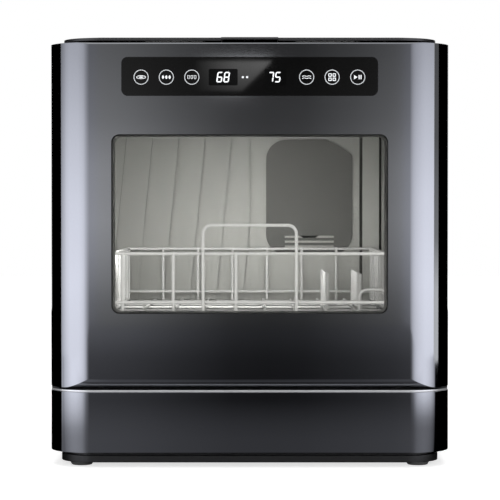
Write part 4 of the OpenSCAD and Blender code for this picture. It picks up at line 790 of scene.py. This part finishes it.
def lit_ink(name, colour, strength):
    """White ink with light behind it."""
    finish = Finish(name, emission_strength=strength, roughness=0.5)
    grain = finish.noise(0.0006, 2)
    finish.tint(grain, colour, 0.04)
    finish.set("Emission Color", finish.blend(
        grain, tuple(c * 0.92 for c in colour) + (1,), colour + (1,)))
    return finish.material


printed(rings, "touch_rings", lit_ink("grey_ink", (0.58, 0.60, 0.62), 0.42))
printed(marks, "touch_marks", lit_ink("white_ink", (0.80, 0.82, 0.84), 0.55))
printed(numerals, "numerals", lit_ink("lit_white_ink", (0.82, 0.84, 0.86), 0.72))


def smoked_film(name):
    """Matt black film round the numerals: it takes the glass's shine off."""
    finish = Finish(name, specular_ior_level=0.15)
    haze = finish.noise(0.01, 3)
    finish.tint(haze, (0.0016, 0.0016, 0.0017), 0.2)
    finish.set("Roughness", haze * 0.05 + 0.1)
    return finish.material


window_height, window_corner = 0.0171, 0.0010
windows = [mark(block_of(width, window_height, window_corner), x, coats=1)
           for width, x in ((0.0300, -0.02745), (0.0222, 0.0266))]
printed(windows, "numeral_windows", smoked_film("smoked_window"))

# ---------- Display modules and touch springs ----------
# Two numeral modules on the control board behind the glass, and a bronze coil spring for each
# touch place that carries its charge from the board to the back of the glass.

eased("display_modules", "numeral_modules", moulded("module_black", (0.010, 0.010, 0.011)), 0.0003)
dress("touch_springs", bright_metal("spring_bronze", (0.55, 0.42, 0.20), 0.25))

# ---------- Detergent dispenser ----------
# Cup and lid injection-moulded in white plastic. The cup is sunk in the door's liner, and the lid
# turns on stub pins at its edge.

eased("dispenser_cup", "detergent_cup", moulded("cup_white", (0.66, 0.66, 0.65), 0.35), 0.0004)
lid_white = moulded("lid_white", (0.74, 0.74, 0.73), 0.28)
eased("dispenser_lid", "detergent_lid", lid_white, 0.0004, segments=3)

# ---------- Rack ----------
# Steel wire bent to shape, welded where it crosses and dipped in pale grey nylon. Four moulded
# grey shoes carry it in the channels.


def nylon(name, colour):
    """Dipped nylon: soft gloss, slightly uneven."""
    finish = Finish(name, coat_weight=0.15)
    dip = finish.noise(0.008, 3)
    finish.tint(dip, colour, 0.05)
    finish.set("Roughness", dip * 0.12 + 0.28)
    finish.bump(dip, 0.0001)
    return finish.material


rack_nylon = nylon("rack_nylon", (0.66, 0.66, 0.66))
for wires in ("rack_front", "rack_back", "rack_sides", "rack_floor", "rack_tines"):
    dress(wires, rack_nylon)
eased("rack_glides", "rack_shoes", moulded("shoe_grey", (0.24, 0.245, 0.25)), 0.0008, segments=3)

# ---------- Studio ----------
# Pale floor and pale air. Two tall light panels stand beside the camera with a dim graded card
# between them, and black cards keep the casing's flanks dark. Only gloss sees the cards.

face_y = cad_box[0][1]
camera_gap = 2.0
arc_start = 0.166
card_y = -2.75
panel_top = 1.3
panel_start, panel_end = Vector((0.36, card_y)), Vector((1.75, -0.58))
cool_white = (0.95, 0.96, 1.04, 1)
neutral = (1, 1, 1, 1)


def lit_card(name, corners, glow_of, tint):
    """A flat card that only reflections see; glow_of builds its glow from its own coordinates."""
    bpy.ops.mesh.primitive_plane_add(size=1)
    card = bpy.context.object
    for vertex, corner in zip(card.data.vertices, corners):
        vertex.co = corner
    card.name = name
    finish = Finish(name + "_glow")
    glow = finish.node("ShaderNodeEmission", {}, {"Color": tint, "Strength": glow_of(finish)})
    finish.links.new(glow.socket, finish.out.inputs["Surface"])
    card.data.materials.append(finish.material)
    card.visible_camera = False
    card.visible_diffuse = False
    card.visible_transmission = False
    card.visible_shadow = False
    bpy.ops.object.select_all(action="DESELECT")


def upright(plan, top):
    """The four corners of a card that stands on two points of the floor."""
    return [(x, y, z) for z in (0, top) for x, y in plan]


def axis_value(finish, axis):
    return finish.node("ShaderNodeSeparateXYZ", {}, {0: finish.coordinates()}, axis)


def ramp(finish, value, stops):
    return finish.node("ShaderNodeValToRGB", {"stops": [
        (place, (level, level, level, 1)) for place, level in stops]}, {0: value})


def left_side(finish):
    """One at the left of the middle, nought at the right."""
    return (0 - axis_value(finish, "X")).above(0.0)


def profile(finish):
    """Light across the door as its face mirrors it: low in the middle, most at the left."""
    ahead = face_y - axis_value(finish, "Y")
    place = axis_value(finish, "X") / (1 + ahead / camera_gap)
    across_door = [(-arc_start, 1.0), (-0.124, 0.82), (-0.072, 0.50), (-0.02, 0.255), (0.018, 0.21),
                   (0.057, 0.235), (0.109, 0.42), (0.15, 0.62), (arc_start, 0.82)]
    door_width = 2 * arc_start
    return ramp(finish, (place + arc_start) / door_width, [
        ((x + arc_start) / door_width, level) for x, level in across_door])


def face_level(finish):
    """How light the card ahead of the door is at each height."""
    brightest = 0.86
    return ramp(finish, axis_value(finish, "Z"), [
        (0.0, 0.33), (0.063, 0.48), (0.11, 0.66), (0.18, 0.88), (0.25, 1.0),
        (0.37, 0.90), (0.49, 0.58), (0.655, 0.38), (1.0, 0.3)]) * brightest


def panel_level(finish):
    """How light a panel is at each height: brightest near its foot."""
    brightest = 2.4
    return ramp(finish, axis_value(finish, "Z"), [
        (0.0, 0.92), (0.14, 1.0), (0.29, 0.91),
        (0.44, 0.70), (0.57, 0.50), (1.0, 0.40)]) * brightest


def panel_light(finish):
    """It rises softly from the middle card's level, and the left panel falls again to the side."""
    share = (abs(axis_value(finish, "X")) - panel_start.x) / (panel_end.x - panel_start.x)
    left_rise = ramp(finish, share, [
        (0.0, 0.0), (0.012, 0.02), (0.137, 0.18), (0.25, 0.45), (0.35, 0.77),
        (0.434, 0.9), (0.55, 1.0), (0.848, 1.0), (1.0, 0.81)])
    right_rise = ramp(finish, share, [
        (0.0, 0.0), (0.012, 0.08), (0.137, 0.38), (0.25, 0.6), (0.35, 0.73),
        (0.434, 0.8), (0.52, 0.88), (0.7, 1.0)])
    left = left_side(finish)
    edge = face_level(finish) * (left * 0.18 + 0.82)
    rise = left * left_rise + (1 - left) * right_rise
    return edge + (panel_level(finish) - edge) * rise


def side_light(finish):
    """It carries the left panel on round the corner, fading."""
    fade_from = -0.6
    fade = ramp(finish, axis_value(finish, "Y") - fade_from, [
        (0.02, 0.81), (0.204, 0.69), (0.433, 0.5)])
    return panel_level(finish) * fade


for name, side in (("left", -1), ("right", 1)):
    plan = [(side * place.x, place.y) for place in (panel_start, panel_end)]
    lit_card("light_panel_" + name, upright(plan, panel_top), panel_light, cool_white)
side_plan = [(-panel_end.x, y) for y in (panel_end.y, -0.12)]
lit_card("side_panel_light", upright(side_plan, panel_top), side_light, cool_white)


def centre_card(finish):
    """Dark in the middle, brighter towards the panels, with a slanting patch for the glass."""
    along, height = axis_value(finish, "X"), axis_value(finish, "Z")
    patch_low, patch_high, patch_left, patch_fade = 0.554, 0.6245, -0.13, 0.158
    slope_foot, patch_strength = 0.5725, 2.6
    left_of_slope = (height - slope_foot).above(along)
    inside = left_of_slope * height.above(patch_low) * (patch_high - height).above(0.0)
    fade = ramp(finish, (along - patch_left) / patch_fade, [(0.0, 0.0), (0.6, 0.8), (1.0, 1.0)])
    climb = ramp(finish, (height - patch_low) / (patch_high - patch_low), [(0.0, 0.35), (1.0, 1.0)])
    return profile(finish) * face_level(finish) + inside * fade * climb * patch_strength


lit_card("centre_card", upright([(x, card_y) for x in (-0.8, 0.8)], 1.5), centre_card, neutral)


def floor_card(finish):
    """Dark straight ahead of the door, light towards the panels, black out to the sides."""
    corner_x, corner_middle, brightest = 0.17, 0.19, 2.55
    corner_lean, corner_line = 0.052, -0.0125
    far_reach, widest_slant = 2.5, 10
    across = abs(axis_value(finish, "X"))
    ahead = face_y - axis_value(finish, "Y")
    slant = (across - corner_x) / ahead.at_least(0.002)
    near_side = ramp(finish, slant, [
        (0.10, 0.0), (0.27, 0.18), (0.38, 0.46), (0.5, 0.72),
        (0.63, 0.85), (0.78, 0.93), (1.0, 1.0)])
    far_side = ramp(finish, slant, [
        (0.10, 0.0), (0.171, 0.08), (0.27, 0.45), (0.38, 0.74),
        (0.5, 0.87), (0.63, 0.95), (0.78, 1.0)])
    distant = ramp(finish, ahead, [(0.9, 0.0), (1.0, 1.0)])
    to_side = near_side + (far_side - near_side) * distant
    beside = across - corner_middle
    away = (beside * beside + ahead * ahead) ** 0.5
    left = left_side(finish)
    left_glow = ramp(finish, away, [
        (0.16, 0.25), (0.255, 0.257), (0.36, 0.315), (0.475, 0.467),
        (0.60, 0.61), (0.82, 0.78), (1.0, 0.90)])
    right_glow = ramp(finish, away, [
        (0.16, 0.153), (0.36, 0.155), (0.475, 0.22), (0.60, 0.39),
        (0.74, 0.60), (0.82, 0.70), (1.0, 0.82)])
    side_glow = (left * left_glow + (1 - left) * right_glow) * brightest
    far = ramp(finish, ahead / far_reach, [
        (0.0, 0.09), (0.3, 0.11), (0.43, 0.12), (0.6, 0.14), (0.9, 0.25)])
    near = ramp(finish, ahead, [
        (0.09, 0.02), (0.12, 0.085), (0.257, 0.08), (0.41, 0.06), (0.74, 0.0)])
    middle = profile(finish) * far + near
    left_end = ramp(finish, slant / widest_slant, [
        (0.15, 1.0), (0.194, 0.94), (0.263, 0.84), (0.4, 0.72), (0.83, 0.55), (1.0, 0.45)])
    behind_corner = (ahead + beside * corner_lean).above(corner_line)
    right_end = ramp(finish, slant / widest_slant, [
        (0.12, 1.0), (0.194, 0.88), (0.263, 0.75), (0.4, 0.55), (0.7, 0.2), (0.85, 0.0)])
    lit = left * left_end * behind_corner + (1 - left) * right_end
    return (to_side * side_glow + (1 - to_side) * middle) * lit


just_above_floor = 0.001
floor_plan = [(x, y, just_above_floor) for y in (card_y, 3.0) for x in (-panel_end.x, panel_end.x)]
lit_card("floor_card", floor_plan, floor_card, cool_white)


def flag_glow(finish):
    """Black, but for a faint front edge at the right."""
    edge_y, brightest = -0.10, 1.4
    edge = (edge_y - axis_value(finish, "Y")).above(0.0) * axis_value(finish, "X").above(0.0)
    fade = ramp(finish, axis_value(finish, "Z"), [
        (0.0, 0.95), (0.13, 0.95), (0.22, 0.40), (0.4, 0.19), (0.7, 0.13)])
    return edge * fade * brightest


for name, x, front in (("left", -1.6, -0.12), ("right", 1.6, -0.5)):
    lit_card("black_card_" + name, upright([(x, front), (x, 3.0)], 2.2), flag_glow, neutral)


def seen_white(finish):
    """One for what the camera, gloss and clear glass see, nought for the light itself."""
    rays = finish.node("ShaderNodeLightPath", output="Is Camera Ray")
    outputs = rays.socket.node.outputs
    gloss = Tone(finish, outputs["Is Glossy Ray"])
    glass = Tone(finish, outputs["Is Transmission Ray"])
    return rays.at_least(gloss).at_least(glass)


bpy.ops.mesh.primitive_plane_add(size=12)
floor = bpy.context.object
floor.name = "studio_floor"
floor_finish = Finish("floor_white", roughness=0.9, emission_strength=0.7)
floor_finish.tint(floor_finish.noise(0.4, 2), (0.80, 0.80, 0.80), 0.01)
floor_finish.set("Emission Color", floor_finish.blend(
    seen_white(floor_finish), (0, 0, 0, 1), (1, 1, 1, 1)))
floor.data.materials.append(floor_finish.material)
bpy.ops.object.select_all(action="DESELECT")


def soft_lamp(place, aim, size, energy, gloss=False):
    """A flat soft lamp aimed at a point, kept out of reflections unless gloss is asked for."""
    turn = (Vector(aim) - Vector(place)).to_track_quat("-Z", "Y").to_euler()
    bpy.ops.object.light_add(type="AREA", location=place, rotation=turn)
    lamp = bpy.context.object
    lamp.data.shape = "RECTANGLE"
    lamp.data.size, lamp.data.size_y = size
    lamp.data.energy = energy
    lamp.visible_glossy = gloss
    lamp.visible_camera = False


# One lamp overhead and one ahead, then two small ones inside the tub: one close behind the window
# gives the steel its sheen, and one further in lights the back wall.
soft_lamp((0, -0.3, 2.4), (0, 0, 0.2), size=(2.2, 2.2), energy=28)
soft_lamp((0, -2.6, 0.9), (0, 0, 0.25), size=(1.8, 1.2), energy=14)
soft_lamp((0, -0.171, 0.21), (0, 0.15, 0.19), size=(0.34, 0.20), energy=0.42, gloss=True)
soft_lamp((-0.05, -0.07, 0.26), (-0.07, 0.14, 0.215), size=(0.26, 0.10), energy=1.05)

air_light, air_white = 0.42, 1.0
world = bpy.data.worlds.new("studio_air")
bpy.context.scene.world = world
world.use_nodes = True
air = world.node_tree
sky = air.nodes["Background"]
sky.inputs["Color"].default_value = (1, 1, 1, 1)
rays = air.nodes.new("ShaderNodeLightPath")
seen = rays.outputs["Is Camera Ray"]
for kind in ("Is Glossy Ray", "Is Transmission Ray"):
    either = air.nodes.new("ShaderNodeMath")
    either.operation = "MAXIMUM"
    air.links.new(seen, either.inputs[0])
    air.links.new(rays.outputs[kind], either.inputs[1])
    seen = either.outputs[0]
level = air.nodes.new("ShaderNodeMapRange")
level.inputs["To Min"].default_value = air_light
level.inputs["To Max"].default_value = air_white
air.links.new(seen, level.inputs["Value"])
air.links.new(level.outputs[0], sky.inputs["Strength"])

# ---------- Camera ----------
# Long lens at the height of the window, two metres ahead of the door and on its middle line. It
# looks very slightly down.

camera_place = (0.0003, -2.2175, 0.263)
camera_dip = 1.04
bpy.ops.object.camera_add(location=camera_place, rotation=(math.radians(90 - camera_dip), 0, 0))
camera = bpy.context.object
camera.data.lens = 138.96
camera.data.sensor_width = 36
bpy.context.scene.camera = camera
bpy.context.scene.view_settings.view_transform = "Standard"
